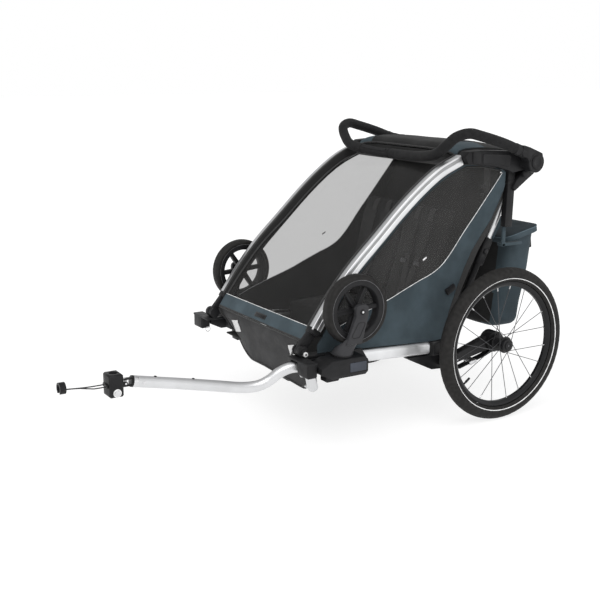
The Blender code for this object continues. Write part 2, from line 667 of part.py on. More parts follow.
def rear_crossmember():
    """The beam between the rails' rear ends, with the suspension brackets and the hooks' pins."""
    inner = CORNER_INNER_X
    front = REAR_BEAM_Y - REAR_BEAM_DEPTH / 2
    back = REAR_BEAM_Y + REAR_BEAM_DEPTH / 2
    shape = box((-inner - 0.01, front, REAR_BEAM_BOTTOM), (inner + 0.01, back, REAR_BEAM_TOP), 0.004, 1)
    rail_edge = RAIL_X + RAIL_WIDTH / 2
    foot_y, foot_z = REAR_FOOT
    for side in (1, -1):
        block = box((inner, RAIL_REAR_Y + 0.0015, REAR_CASTING_BOTTOM),
                    (rail_edge + 0.001, REAR_CASTING_END_Y, REAR_CASTING_TOP), 0.006, 1)
        wedge = plate([(-0.322, 0.2315), (-0.315, 0.2245), (-0.225, 0.180), (-0.160, 0.176),
                       (-0.140, 0.190), (-0.140, 0.2300), (-0.228, 0.2290)], inner + 0.002, 0.292)
        pin_end = ARM_INNER_X + ARM_THICKNESS + 0.003
        pin = rod((0.280, *ARM_PIVOT), (pin_end, *ARM_PIVOT), ARM_PIVOT_PIN_RADIUS)
        ear = plate(rounded([(-0.158, 0.234, 0), (foot_y + 0.013, 0.250, 0.010), (foot_y + 0.013, foot_z + 0.013, 0.012),
                             (foot_y - 0.014, foot_z + 0.013, 0.012), (-0.158, 0.262, 0)], 1), inner + 0.0005, 0.2720)
        leg_edge = REAR_FRAME_X + REAR_FRAME_RADIUS
        boss = rod((leg_edge + 0.0006, *REAR_FOOT), (0.266, *REAR_FOOT), 0.0095)
        foot_pin = rod((0.264, *REAR_FOOT), (REAR_FRAME_X - REAR_FRAME_RADIUS - 0.002, *REAR_FOOT), REAR_PIN_RADIUS)
        pieces = [block, wedge, pin, ear, boss, foot_pin]
        if side < 0:
            pieces = [mirrored(piece) for piece in pieces]
        shape = joined(shape, *pieces)
    for x in (PEDAL_LUG_X, -PEDAL_LUG_X - PEDAL_LUG_THICKNESS):
        lug = plate(rounded([(REAR_BEAM_Y, 0.204, 0), (PEDAL_PIVOT[0] + 0.009, PEDAL_PIVOT[1] - 0.009, 0.008),
                             (PEDAL_PIVOT[0] + 0.009, PEDAL_PIVOT[1] + 0.009, 0.008), (REAR_BEAM_Y, 0.232, 0)], 1),
                    x, x + PEDAL_LUG_THICKNESS)
        hole = rod((x - 0.01, *PEDAL_PIVOT), (x + PEDAL_LUG_THICKNESS + 0.01, *PEDAL_PIVOT),
                   PEDAL_PIN_RADIUS + RUNNING_GAP)
        shape = joined(shape, cut(lug, hole))
    return shape


def brake_pedal():
    """Foot bar behind the rear beam, on a shaft held by the beam's two lugs."""
    y, z = PEDAL_PIVOT
    inner = PEDAL_LUG_X - GAP
    shaft_reach = PEDAL_LUG_X + PEDAL_LUG_THICKNESS + 0.003
    shaft = rod((-shaft_reach, y, z), (shaft_reach, y, z), PEDAL_PIN_RADIUS)
    boss = rod((-inner, y, z), (inner, y, z), 0.008)
    arm = box((-0.020, y, z - 0.005), (0.020, y + PEDAL_LENGTH - 0.03, z + 0.003), 0.002, 1)
    foot = box((-PEDAL_HALF_WIDTH, y + PEDAL_LENGTH - 0.05, z - 0.008),
               (PEDAL_HALF_WIDTH, y + PEDAL_LENGTH, z + 0.006), 0.004, 1)
    return joined(boss, shaft, arm, foot)


def floor_pan():
    return box((-FLOOR_HALF_WIDTH, FLOOR_FRONT_Y, FLOOR_Z), (FLOOR_HALF_WIDTH, REAR_CASTING_END_Y + 0.012,
                                                      FLOOR_Z + FLOOR_THICKNESS), 0.0015, 1)


def front_corner():
    """Corner casting: ears for the front frame's pivot, rail socket and the flip wheel's arm and pin."""
    pivot_y, pivot_z = FRAME_PIVOT
    lug = FRAME_LUG_HALF + RUNNING_GAP
    inner, outer = CORNER_INNER_X, CORNER_OUTER_X
    deck = box((inner, CORNER_FRONT_Y, CORNER_PLATE_BOTTOM), (outer, -0.640, CORNER_PLATE_TOP), 0.001, 1)
    block = box((inner + 0.0006, -0.654, 0.246), (outer - 0.0006, RAIL_FRONT_Y - 0.0015, CORNER_PLATE_TOP - 0.0006),
                0.003, 1)
    foot = box((inner + 0.0012, -0.630, 0.204), (outer - 0.0012, CROSSBAR_Y + 0.016, rail_z(CROSSBAR_Y) - 0.0215),
               0.003, 1)
    neck = box((inner + 0.0018, -0.6300, 0.225), (outer - 0.0018, RAIL_FRONT_Y - 0.0021, 0.262))
    clamp = plate([(-0.640, 0.2490), (-0.478, 0.2480), (-0.5075, 0.2950), (-0.640, 0.2950)],
                  RAIL_X + RAIL_WIDTH / 2 + 0.0004, outer + 0.0018)
    ears = []
    for low, high in ((inner + 0.0005, TUBE_X - lug), (TUBE_X + lug, outer - 0.0005)):
        ears.append(rod((low, pivot_y, pivot_z), (high, pivot_y, pivot_z), FRAME_EAR_RADIUS))
    pin = rod((inner + 0.002, pivot_y, pivot_z), (outer + 0.002, pivot_y, pivot_z), FRAME_PIVOT_PIN_RADIUS)
    head = rod((outer - 0.0015, pivot_y, pivot_z), (outer + 0.005, pivot_y, pivot_z), 0.009)
    front, rear = CORNER_FRONT_Y + 0.001, HOUSING_FRONT_Y - 0.003
    shelf = box((outer - 0.008, front, CORNER_PLATE_BOTTOM - 0.0002), (CASTER_X + 0.022, rear, CORNER_PLATE_TOP - 0.0004),
                0.001, 1)
    lug_box = box((HOUSING_INNER_X, front + 0.0006, CASTER_FLIP_Z - 0.019), (CASTER_X + 0.0214, rear - 0.0006, 0.2932),
                  0.004, 1)
    flip_pin = rod((CASTER_X, HOUSING_FRONT_Y - 0.008, CASTER_FLIP_Z), (CASTER_X, FLIP_PIN_REAR_Y, CASTER_FLIP_Z),
                   FLIP_PIN_RADIUS)
    return joined(deck, block, clamp, neck, foot, *ears, pin, head, shelf, lug_box, flip_pin)


# Front frame

def tube_section():
    half_w = TUBE_WIDTH / 2
    half_h = TUBE_HEIGHT / 2
    corners = [(-half_w, -half_h), (half_w, -half_h), (half_w, half_h), (-half_w, half_h)]
    return rounded([(a, b, TUBE_CORNER) for a, b in corners], 1)


def front_tube():
    """One curved side tube of the front frame with its pivot lug."""
    pivot_y, pivot_z = FRAME_PIVOT
    line = smooth_line([(TUBE_X, y, z) for y, z in TUBE_LINE], 2)
    tube = pipe(line, 0, section=tube_section())
    start = Vector(TUBE_LINE[0])
    along = (Vector(TUBE_LINE[1]) - start).normalized()
    across = Vector((-along.y, along.x))
    half = FRAME_LUG_RADIUS * 0.98
    base = start + along * 0.015
    pivot = Vector(FRAME_PIVOT)
    corners = [pivot + across * half, pivot - across * half, base - across * half, base + across * half]
    low = TUBE_X - FRAME_LUG_HALF
    high = TUBE_X + FRAME_LUG_HALF
    neck = plate([tuple(c) for c in corners], low, high)
    lug = rod((low, pivot_y, pivot_z), (high, pivot_y, pivot_z), FRAME_LUG_RADIUS)
    collar_line = [(TUBE_X, *(start - along * 0.012)), (TUBE_X, *(start + along * 0.030))]
    collar_section = [(a * 0.985, b * 1.10) for a, b in tube_section()]
    collar = pipe([Vector(p) for p in collar_line], 0, section=collar_section)
    shape = joined(tube, collar, neck, lug)
    hole = rod((low - 0.02, pivot_y, pivot_z), (high + 0.02, pivot_y, pivot_z),
               FRAME_PIVOT_PIN_RADIUS + RUNNING_GAP)
    return cut(shape, hole)


def top_piece():
    """Side casting at the top: front knuckle, beam, hub seat with its pin, and the rear strut."""
    low, high = TOP_PIECE_INNER_X, TOP_PIECE_OUTER_X
    hub_y, hub_z = HUB_POINT
    rear_y, rear_z = REAR_TOP
    beam = plate(rounded([(-0.121, 0.8285, 0), (-0.055, 0.8225, 0), (0.000, 0.8135, 0),
                          (0.045, 0.8015, 0), (0.066, 0.790, 0), (0.068, 0.735, 0), (0.092, 0.729, 0.008),
                          (rear_y + 0.005, rear_z - 0.011, 0.012), (0.174, 0.785, 0.012), (0.170, 0.815, 0.015),
                          (0.158, 0.848, 0.020), (0.060, 0.8605, 0.020), (-0.070, 0.8685, 0.012),
                          (-0.118, 0.866, 0), (-0.134, 0.850, 0)], 2), low, high)
    leg_edge = REAR_FRAME_X + REAR_FRAME_RADIUS
    boss = rod((leg_edge + 0.0006, *REAR_TOP), (low + 0.002, *REAR_TOP), 0.010)
    rear_pin = rod((low + 0.001, *REAR_TOP), (REAR_FRAME_X - REAR_FRAME_RADIUS - 0.002, *REAR_TOP), REAR_PIN_RADIUS)
    strut = plate(STRUT_LINE, low + 0.004, low + 0.026)
    foot_y, foot_z = STRUT_LINE[5]
    tab = box((BAG_HALF_WIDTH - 0.0010 + GAP, foot_y + 0.0006, foot_z + 0.0006),
              (low + 0.012, BAG_TOP_FRONT[0] + BAG_CORNER + 0.018, foot_z + 0.010))
    seat = rod((high - 0.010, hub_y, hub_z), (HUB_END_INNER_X - GAP, hub_y, hub_z), HUB_END_RADIUS - 0.002)
    pin = rod((high - 0.010, hub_y, hub_z), (HUB_END_OUTER_X - 0.012, hub_y, hub_z), HUB_PIN_RADIUS)
    front = Vector(TUBE_LINE[-1])
    run = (front - Vector(TUBE_LINE[-2])).normalized()
    clear = front + run * GAP
    side = Vector((-run.y, run.x))
    room = [clear - side * 0.04, clear + side * 0.04, clear + side * 0.04 - run * 0.06, clear - side * 0.04 - run * 0.06]
    trim = plate([tuple(p) for p in room], low - 0.02, TUBE_X + TUBE_WIDTH / 2 + GAP)
    return cut(joined(beam, strut, tab, seat, pin, boss, rear_pin), trim)


def top_bar():
    reach = TOP_PIECE_INNER_X - GAP
    y, z = TOP_BAR_POINT
    return rod((-reach, y, z), (reach, y, z), TOP_BAR_RADIUS)


def across_rows(line, half_width, columns, shaped=None):
    """Rows of points for a sheet that spans the trailer's width along a side line of (y, z)."""
    rows = []
    for y, z in line:
        row = []
        for i in range(columns + 1):
            x = half_width * (2 * i / columns - 1)
            row.append((x, y, z) if shaped is None else shaped(x, y, z))
        rows.append(row)
    return rows


def front_cover():
    line = [(p.x, p.y) for p in smooth_line([Vector(p).to_2d() for p in COVER_LINE], 2)]
    return sheet(across_rows(line, COVER_HALF_WIDTH, 2), FABRIC)


def roof():
    def crowned(x, y, z):
        share = abs(x) / ROOF_HALF_WIDTH
        return x, y, z - ROOF_SIDE_DROP * share ** 6
    return sheet(across_rows(ROOF_LINE, ROOF_HALF_WIDTH, 8, crowned), FABRIC)


# Handlebar

def handlebar():
    """Padded bar, its two plastic ends and the hubs that turn on the top pieces' pins.

    The flats of each bore clear the corners of its pin, so that the hub turns freely."""
    half = smooth_line(BAR_LINE, 2)
    line = half + [Vector((-p.x, p.y, p.z)) for p in half[-2::-1]]
    shape = pipe(line, BAR_RADIUS, 2)
    hub_y, hub_z = HUB_POINT
    for side in (1, -1):
        low, high = HUB_END_INNER_X, HUB_END_OUTER_X
        hub = rod((low, hub_y, hub_z), (high, hub_y, hub_z), HUB_END_RADIUS)
        start = Vector(BAR_LINE[0][1:])
        hub_centre = Vector(HUB_POINT)
        run = (hub_centre - start).normalized()
        across = Vector((-run.y, run.x)) * 0.018
        start = start - run * 0.022
        corners = [start + across, start - across, hub_centre - across, hub_centre + across]
        arm = plate([tuple(p) for p in corners], low, high)
        bore = rod((low - 0.01, hub_y, hub_z), (HUB_END_OUTER_X - 0.010, hub_y, hub_z),
                   (HUB_PIN_RADIUS + RUNNING_GAP) / cos(pi / PIN_SIDES))
        recess = rod((high - HUB_BUTTON_DEPTH - GAP, hub_y, hub_z), (high + 0.01, hub_y, hub_z),
                     HUB_BUTTON_RADIUS + GAP)
        pieces = [hub, arm]
        holes = [bore, recess]
        if side < 0:
            pieces = [mirrored(piece) for piece in pieces]
            holes = [mirrored(hole) for hole in holes]
        shape = cut(joined(shape, *pieces), *holes)
    return shape


def hub_button():
    hub_y, hub_z = HUB_POINT
    start = HUB_END_OUTER_X - HUB_BUTTON_DEPTH + HUB_BUTTON_TRAVEL
    return rod((start, hub_y, hub_z), (HUB_END_OUTER_X + HUB_BUTTON_PROUD, hub_y, hub_z), HUB_BUTTON_RADIUS)


# Rear frame

def latch_centre():
    return Vector((REAR_FRAME_X, *(Vector(REAR_TOP).lerp(Vector(REAR_FOOT), LATCH_SHARE))))


def rear_direction():
    return (Vector((0, *REAR_TOP)) - Vector((0, *REAR_FOOT))).normalized()


def rear_frame():
    """Two side tubes hung from the top pieces' pins, with the cross tube behind the seats."""
    x = REAR_FRAME_X
    along = rear_direction()
    top = Vector((x, *REAR_TOP))
    latch = latch_centre()
    end = latch + along * (LATCH_LENGTH / 2 - 0.020)
    cross = latch + along * (LATCH_LENGTH / 2 + 0.020)
    shape = rod((-x, cross.y, cross.z), (x, cross.y, cross.z), REAR_FRAME_RADIUS * 0.9)
    for side in (1, -1):
        tube = rod(end, top - along * 0.004, REAR_FRAME_RADIUS)
        half = REAR_FRAME_RADIUS - 0.0007
        eye = rod((x - half, *REAR_TOP), (x + half, *REAR_TOP), REAR_EYE_RADIUS)
        hole = rod((x - 0.02, *REAR_TOP), (x + 0.02, *REAR_TOP), REAR_PIN_RADIUS + RUNNING_GAP)
        pieces = [tube, eye]
        if side < 0:
            pieces = [mirrored(piece) for piece in pieces]
            hole = mirrored(hole)
        shape = cut(joined(shape, *pieces), hole)
    return shape


def rear_leg():
    """Lower leg: latch body round the tube's end, and a foot hooked on the crossmember's pin."""
    x = REAR_FRAME_X
    along = rear_direction()
    lean = atan2(along.z, along.y)
    latch = latch_centre()
    foot = Vector((x, *REAR_FOOT))
    low = (x - LATCH_HALF_WIDTH, latch.y - LATCH_LENGTH / 2, latch.z - LATCH_HALF_WIDTH)
    high = (x + LATCH_HALF_WIDTH, latch.y + LATCH_LENGTH / 2, latch.z + LATCH_HALF_WIDTH)
    body = box(low, high, 0.006, 1, lean)
    leg = rod(foot + along * 0.006, latch, REAR_LEG_RADIUS)
    eye = rod((x - REAR_FRAME_RADIUS, *REAR_FOOT), (x + REAR_FRAME_RADIUS, *REAR_FOOT), REAR_EYE_RADIUS)
    socket = rod(latch + along * (LATCH_LENGTH / 2 - 0.020 - GAP), latch + along * LATCH_LENGTH,
                 REAR_FRAME_RADIUS + GAP)
    fit = REAR_PIN_RADIUS + RUNNING_GAP
    hole = rod((x - 0.02, *REAR_FOOT), (x + 0.02, *REAR_FOOT), fit)
    mouth = box((x - 0.02, foot.y, foot.z - fit * 0.98), (x + 0.02, foot.y + 0.03, foot.z + fit * 0.98))
    seat = rod((x + LATCH_HALF_WIDTH - LATCH_BUTTON_TRAVEL - 0.002, latch.y, latch.z), (x + 0.03, latch.y, latch.z),
               LATCH_BUTTON_RADIUS + GAP)
    return cut(joined(body, leg, eye), socket, hole, mouth, seat)


def latch_button():
    latch = latch_centre()
    face = REAR_FRAME_X + LATCH_HALF_WIDTH
    return rod((face - 0.0018, latch.y, latch.z), (face + LATCH_BUTTON_PROUD, latch.y, latch.z), LATCH_BUTTON_RADIUS)


# Stroller wheels

def caster_housing():
    """The block that flips over on the corner's long pin and carries the swivel spindle."""
    low_z = CASTER_FLIP_Z - HOUSING_HALF_HEIGHT
    high_z = CASTER_FLIP_Z + HOUSING_HALF_HEIGHT
    front, rear = HOUSING_FRONT_Y, HOUSING_REAR_Y
    side_view = rounded([(front, low_z + 0.022, 0.006), (front + 0.045, low_z, 0.010), (rear - 0.010, low_z, 0.006),
                         (rear, low_z + 0.012, 0.005), (rear, high_z - 0.012, 0.005), (rear - 0.010, high_z, 0.006),
                         (front + 0.045, high_z, 0.010), (front, high_z - 0.022, 0.006)], 2)
    half_width = (HOUSING_OUTER_X - HOUSING_INNER_X) / 2
    corner = HOUSING_EDGE
    section = rounded([(a * half_width, b * HOUSING_HALF_HEIGHT, corner) for a, b in ((-1, -1), (1, -1), (1, 1), (-1, 1))], 2)
    middle_x = (HOUSING_OUTER_X + HOUSING_INNER_X) / 2
    bar = pipe([Vector((middle_x, front - 0.01, CASTER_FLIP_Z)), Vector((middle_x, rear + 0.01, CASTER_FLIP_Z))], 0,
               section=section)
    shape = combined(plate(side_view, HOUSING_INNER_X - 0.002, HOUSING_OUTER_X + 0.002), bar, "INTERSECT")
    pin_hole = rod((CASTER_X, front - 0.02, CASTER_FLIP_Z), (CASTER_X, FLIP_PIN_REAR_Y + GAP, CASTER_FLIP_Z),
                   FLIP_PIN_RADIUS + RUNNING_GAP)
    spindle_hole = rod((CASTER_X, SWIVEL_Y, high_z - 0.020), (CASTER_X, SWIVEL_Y, high_z + 0.01),
                       SWIVEL_SPINDLE_RADIUS + RUNNING_GAP)
    low, high = flip_button_box()
    pocket = box((low[0] - 0.0035, low[1] - GAP, low[2] - GAP), (high[0] + 0.02, high[1] + GAP, high[2] + GAP))
    return cut(shape, pin_hole, spindle_hole, pocket)


def flip_button_box():
    rear = HOUSING_REAR_Y - 0.006
    low = (HOUSING_OUTER_X - 0.004, rear - FLIP_BUTTON_LENGTH, CASTER_FLIP_Z - 0.014)
    high = (HOUSING_OUTER_X + 0.0015, rear, CASTER_FLIP_Z + 0.014)
    return low, high


def flip_button():
    low, high = flip_button_box()
    return box(low, high, 0.001, 1)


def caster_leg():
    """Turret on the swivel spindle, and the leg up the wheel's outer side with the axle bolt."""
    high_z = CASTER_FLIP_Z + HOUSING_HALF_HEIGHT
    base_z = high_z + RUNNING_GAP
    top_z = base_z + TURRET_HEIGHT
    wheel_bottom = CASTER_WHEEL_Z - CASTER_RADIUS
    spindle = rod((CASTER_X, SWIVEL_Y, high_z - 0.018), (CASTER_X, SWIVEL_Y, base_z + 0.004), SWIVEL_SPINDLE_RADIUS)
    turret = rod((CASTER_X, SWIVEL_Y, base_z), (CASTER_X, SWIVEL_Y, top_z), TURRET_RADIUS, TURRET_RADIUS * 0.93)
    outer = LEG_INNER_X + LEG_THICKNESS
    shelf = box((CASTER_X - 0.010, SWIVEL_Y - 0.026, base_z + 0.004), (outer, SWIVEL_Y + 0.026, wheel_bottom - 0.002),
                0.003, 1)
    leg = plate(rounded([(SWIVEL_Y - 0.028, base_z + 0.004, 0), (SWIVEL_Y + 0.030, base_z + 0.004, 0),
                         (CASTER_WHEEL_Y + LEG_HEAD_RADIUS, CASTER_WHEEL_Z - 0.012, 0.010),
                         (CASTER_WHEEL_Y + LEG_HEAD_RADIUS, CASTER_WHEEL_Z + LEG_HEAD_RADIUS, 0.018),
                         (CASTER_WHEEL_Y - LEG_HEAD_RADIUS, CASTER_WHEEL_Z + LEG_HEAD_RADIUS, 0.018),
                         (CASTER_WHEEL_Y - LEG_HEAD_RADIUS, CASTER_WHEEL_Z - 0.012, 0.010)], 3), LEG_INNER_X, outer)
    bolt_end = CASTER_X - CASTER_RIM_HALF_WIDTH - 0.001
    bolt = rod((outer - 0.002, CASTER_WHEEL_Y, CASTER_WHEEL_Z), (bolt_end, CASTER_WHEEL_Y, CASTER_WHEEL_Z),
               CASTER_BOLT_RADIUS)
    head = rod((outer - 0.002, CASTER_WHEEL_Y, CASTER_WHEEL_Z), (outer + 0.002, CASTER_WHEEL_Y, CASTER_WHEEL_Z), 0.008)
    return joined(turret, spindle, shelf, leg, bolt, head)


def caster_wheel():
    """Moulded wheel: rim, hub and flat spokes, with a bore for the bolt."""
    half = CASTER_RIM_HALF_WIDTH
    outer = CASTER_RIM_RADIUS - GAP
    inner = CASTER_RIM_INNER
    centre = (CASTER_X, CASTER_WHEEL_Y, CASTER_WHEEL_Z)
    shape = ring([(-half, outer), (half, outer), (half, inner + 0.003), (0, inner),
                  (-half, inner + 0.003)], centre, CASTER_STEPS)
    for i in range(CASTER_SPOKES):
        angle = 2 * pi * i / CASTER_SPOKES + radians(4)
        near_y, near_z = polar(CASTER_HUB_RADIUS * 0.6, angle)
        far_y, far_z = polar(inner + 0.004, angle)
        side_y, side_z = polar(0.0065, angle + pi / 2)
        y, z = centre[1:]
        corners = [(y + near_y + side_y, z + near_z + side_z), (y + near_y - side_y, z + near_z - side_z),
                   (y + far_y - side_y, z + far_z - side_z), (y + far_y + side_y, z + far_z + side_z)]
        shape = joined(shape, plate(corners, CASTER_X - 0.0090, CASTER_X + 0.0090))
    hub = rod((CASTER_X - half, *centre[1:]), (CASTER_X + half + 0.004, *centre[1:]), CASTER_HUB_RADIUS)
    bore = rod((CASTER_X - half - 0.02, *centre[1:]), (CASTER_X + half + 0.02, *centre[1:]),
               CASTER_BOLT_RADIUS + RUNNING_GAP)
    return cut(joined(shape, hub), bore)


def caster_tyre():
    half = CASTER_HALF_WIDTH
    outer = CASTER_RADIUS
    inner = CASTER_RIM_RADIUS
    profile = [(-half, inner), (-half, outer - 0.007), (-half * 0.6, outer - 0.0014), (0, outer),
               (half * 0.6, outer - 0.0014), (half, outer - 0.007), (half, inner)]
    return ring(profile, (CASTER_X, CASTER_WHEEL_Y, CASTER_WHEEL_Z), CASTER_STEPS)


# Hitch

def hitch_arm():
    """The bent arm with its cross-wise tail, bored at the front for the neck's shank."""
    line = smooth_line(ARM_LINE, 2) + [Vector((TAIL_END_X, *TAIL_POINT))]
    tube = pipe(line, ARM_RADIUS, 2)
    start, run = neck_frame()
    bore = rod(start - run * 0.02, start + run * (NECK_SHANK_LENGTH + 0.004), NECK_SHANK_RADIUS + NECK_BORE_CLEARANCE)
    centre = snap_centre()
    hole = rod((centre.x, centre.y, centre.z), (centre.x + 0.04, centre.y, centre.z),
               SNAP_BUTTON_RADIUS + GAP)
    return cut(tube, bore, hole)


def neck_frame():
    """The arm's front end and its direction there."""
    line = smooth_line(ARM_LINE, 2)
    return line[0], (line[1] - line[0]).normalized()


def snap_centre():
    start, run = neck_frame()
    return start + run * ((SNAP_BUTTON_Y - start.y) / run.y)


def hitch_neck():
    """Shank in the arm, flange and yoke plates for the steering knuckle."""
    start, run = neck_frame()
    shank = rod(start - run * 0.002, start + run * NECK_SHANK_LENGTH, NECK_SHANK_RADIUS)
    flange = rod(start - run * 0.0045, start - run * GAP, ARM_RADIUS)
    shape = joined(shank, flange)
    for low in (YOKE_GAP, -YOKE_GAP - YOKE_PLATE):
        rear_y = start.y - 0.0022 - run.z / run.y * (low + YOKE_PLATE / 2)
        plate_low = (HITCH_X - YOKE_HALF_WIDTH + 0.0003, YAW_Y, HITCH_Z + low)
        plate_high = (HITCH_X + YOKE_HALF_WIDTH - 0.0003, rear_y, HITCH_Z + low + YOKE_PLATE)
        nose = rod((HITCH_X, YAW_Y, HITCH_Z + low), (HITCH_X, YAW_Y, HITCH_Z + low + YOKE_PLATE), YOKE_HALF_WIDTH)
        shape = joined(shape, joined(box(plate_low, plate_high), nose))
    pin_hole = rod((HITCH_X, YAW_Y, HITCH_Z - 0.03), (HITCH_X, YAW_Y, HITCH_Z + 0.03),
                   KNUCKLE_PIN_RADIUS + RUNNING_GAP)
    centre = snap_centre()
    seat = rod((centre.x + 0.002, centre.y, centre.z), (centre.x + 0.03, centre.y, centre.z),
               SNAP_BUTTON_RADIUS + GAP)
    return cut(shape, pin_hole, seat)


def snap_button():
    centre = snap_centre()
    low = centre.x + 0.002 + SNAP_BUTTON_TRAVEL + GAP
    return rod((low, centre.y, centre.z), (centre.x + ARM_RADIUS + 0.0015, centre.y, centre.z), SNAP_BUTTON_RADIUS)


def hitch_knuckle():
    """Cross piece between neck and coupler: upright pin for steering, cross pin for dips."""
    half = KNUCKLE_HALF
    shape = box((HITCH_X - half, YAW_Y - half, HITCH_Z - half), (HITCH_X + half, YAW_Y + half, HITCH_Z + half),
                0.001, 1)
    reach_z = YOKE_GAP + YOKE_PLATE
    upright = rod((HITCH_X, YAW_Y, HITCH_Z - reach_z), (HITCH_X, YAW_Y, HITCH_Z + reach_z), KNUCKLE_PIN_RADIUS)
    cross = rod((HITCH_X - CHEEK_OUTER, YAW_Y, HITCH_Z), (HITCH_X + CHEEK_OUTER, YAW_Y, HITCH_Z), KNUCKLE_PIN_RADIUS)
    return joined(shape, upright, cross)


def hitch_coupler():
    """Block that locks on the bicycle's axle mount, with cheeks for the knuckle."""
    low = (HITCH_X - COUPLER_HALF_WIDTH, COUPLER_FRONT_Y, HITCH_Z - COUPLER_BELOW)
    high = (HITCH_X + COUPLER_HALF_WIDTH, COUPLER_REAR_Y, HITCH_Z + COUPLER_ABOVE)
    shape = box(low, high, 0.004, 1)
    for side in (1, -1):
        inner, outer = sorted((HITCH_X + side * CHEEK_INNER, HITCH_X + side * CHEEK_OUTER))
        cheek = joined(box((inner, COUPLER_REAR_Y - 0.002, HITCH_Z - 0.006), (outer, YAW_Y, HITCH_Z + 0.006)),
                       rod((inner, YAW_Y, HITCH_Z), (outer, YAW_Y, HITCH_Z), 0.006))
        shape = joined(shape, cheek)
    pin_hole = rod((HITCH_X - 0.03, YAW_Y, HITCH_Z), (HITCH_X + 0.03, YAW_Y, HITCH_Z),
                   KNUCKLE_PIN_RADIUS + RUNNING_GAP)
    top = HITCH_Z + COUPLER_ABOVE
    socket_y = (COUPLER_FRONT_Y + COUPLER_REAR_Y) / 2
    socket = rod((HITCH_X, socket_y, top - SOCKET_DEPTH), (HITCH_X, socket_y, top + 0.01), SOCKET_RADIUS)
    lock_hole = rod((HITCH_X - 0.05, LOCK_PIN_Y, LOCK_PIN_Z), (HITCH_X + 0.05, LOCK_PIN_Y, LOCK_PIN_Z),
                    LOCK_PIN_RADIUS + RUNNING_GAP)
    return cut(shape, pin_hole, socket, lock_hole)


def lock_pin():
    face = HITCH_X + COUPLER_HALF_WIDTH
    shank = rod((HITCH_X - COUPLER_HALF_WIDTH - 0.002, LOCK_PIN_Y, LOCK_PIN_Z),
                (face + 0.002, LOCK_PIN_Y, LOCK_PIN_Z), LOCK_PIN_RADIUS)
    head = rod((face + GAP, LOCK_PIN_Y, LOCK_PIN_Z), (face + 0.004, LOCK_PIN_Y, LOCK_PIN_Z), LOCK_PIN_HEAD_RADIUS)
    return joined(head, shank)


def stay_wire():
    """Two stiff wires from the coupler to a clip for the bicycle's chain stay."""
    clip_z = HITCH_Z + 0.013
    half = STAY_CLIP_WIDTH / 2
    clip = rod((HITCH_X, STAY_CLIP_Y - half, clip_z), (HITCH_X, STAY_CLIP_Y + half, clip_z), STAY_CLIP_RADIUS)
    bore = rod((HITCH_X, STAY_CLIP_Y - 0.03, clip_z), (HITCH_X, STAY_CLIP_Y + 0.03, clip_z), STAY_CLIP_BORE)
    mouth = box((HITCH_X - 0.008, STAY_CLIP_Y - 0.03, clip_z - 0.03), (HITCH_X + 0.008, STAY_CLIP_Y + 0.03, clip_z))
    shape = cut(clip, bore, mouth)
    end = COUPLER_FRONT_Y - GAP
    foot = box((HITCH_X - 0.017, end - 0.004, HITCH_Z - 0.005), (HITCH_X + 0.017, end, HITCH_Z + 0.005), 0.001, 1)
    for side in (1, -1):
        x = HITCH_X + side * (STAY_CLIP_BORE + STAY_CLIP_RADIUS) / 2
        z_clip = clip_z - 0.004 * (1 - side)
        wire = pipe(smooth_line([(x, STAY_CLIP_Y, z_clip), (x, STAY_CLIP_Y + 0.045, z_clip - 0.004),
                                 (x, end - 0.04, HITCH_Z + 0.001 * side), (x, end - 0.002, HITCH_Z + 0.001 * side)], 2),
                    STAY_WIRE_RADIUS, 1)
        shape = joined(shape, wire)
    return joined(shape, foot)


def hitch_saddle():
    """Bracket under the left corner that the arm's top bend rises into: open in front, below and
    beside the flip wheel's housing, whose edges swing past it."""
    low = (SADDLE_X - SADDLE_HALF_WIDTH, SADDLE_FRONT_Y, SADDLE_BOTTOM)
    high = (SADDLE_X + SADDLE_HALF_WIDTH, SADDLE_REAR_Y, CORNER_PLATE_BOTTOM - GAP)
    block = box(low, high, 0.0012, 1)
    half = SADDLE_HALF_WIDTH - SADDLE_WALL
    room = box((SADDLE_X - half, SADDLE_FRONT_Y - 0.01, 0.20),
               (SADDLE_X + half, SADDLE_REAR_Y - SADDLE_WALL, CORNER_PLATE_BOTTOM - 0.0030))
    flip_room = box((SADDLE_X + half, HOUSING_FRONT_Y - 0.001, 0.20),
                    (SADDLE_X + half + 0.02, SADDLE_REAR_Y + 0.01, CORNER_PLATE_BOTTOM - 0.0030))
    return cut(block, room, flip_room)


# Body shell, seats and bag

def nose_tub():
    """The grey front: a panel from under the cover down to a lip that hides the arm's tail."""
    def lip(x, share):
        edge = max(0.0, (abs(x) - NOSE_FLAT_HALF_WIDTH) / (NOSE_HALF_WIDTH - NOSE_FLAT_HALF_WIDTH))
        bottom = NOSE_LIP_Z + (NOSE_CORNER_Z - NOSE_LIP_Z) * edge ** 1.6
        top_y, top_z = NOSE_TOP
        z = top_z + (bottom - top_z) * share
        y = top_y + (NOSE_LIP_Y - top_y) * (top_z - z) / (top_z - NOSE_LIP_Z)
        return x, y, z
    columns = 10
    rows = []
    for step in range(5):
        share = step / 4
        rows.append([lip(NOSE_HALF_WIDTH * (2 * i / columns - 1), share) for i in range(columns + 1)])
    return sheet(rows, FABRIC)


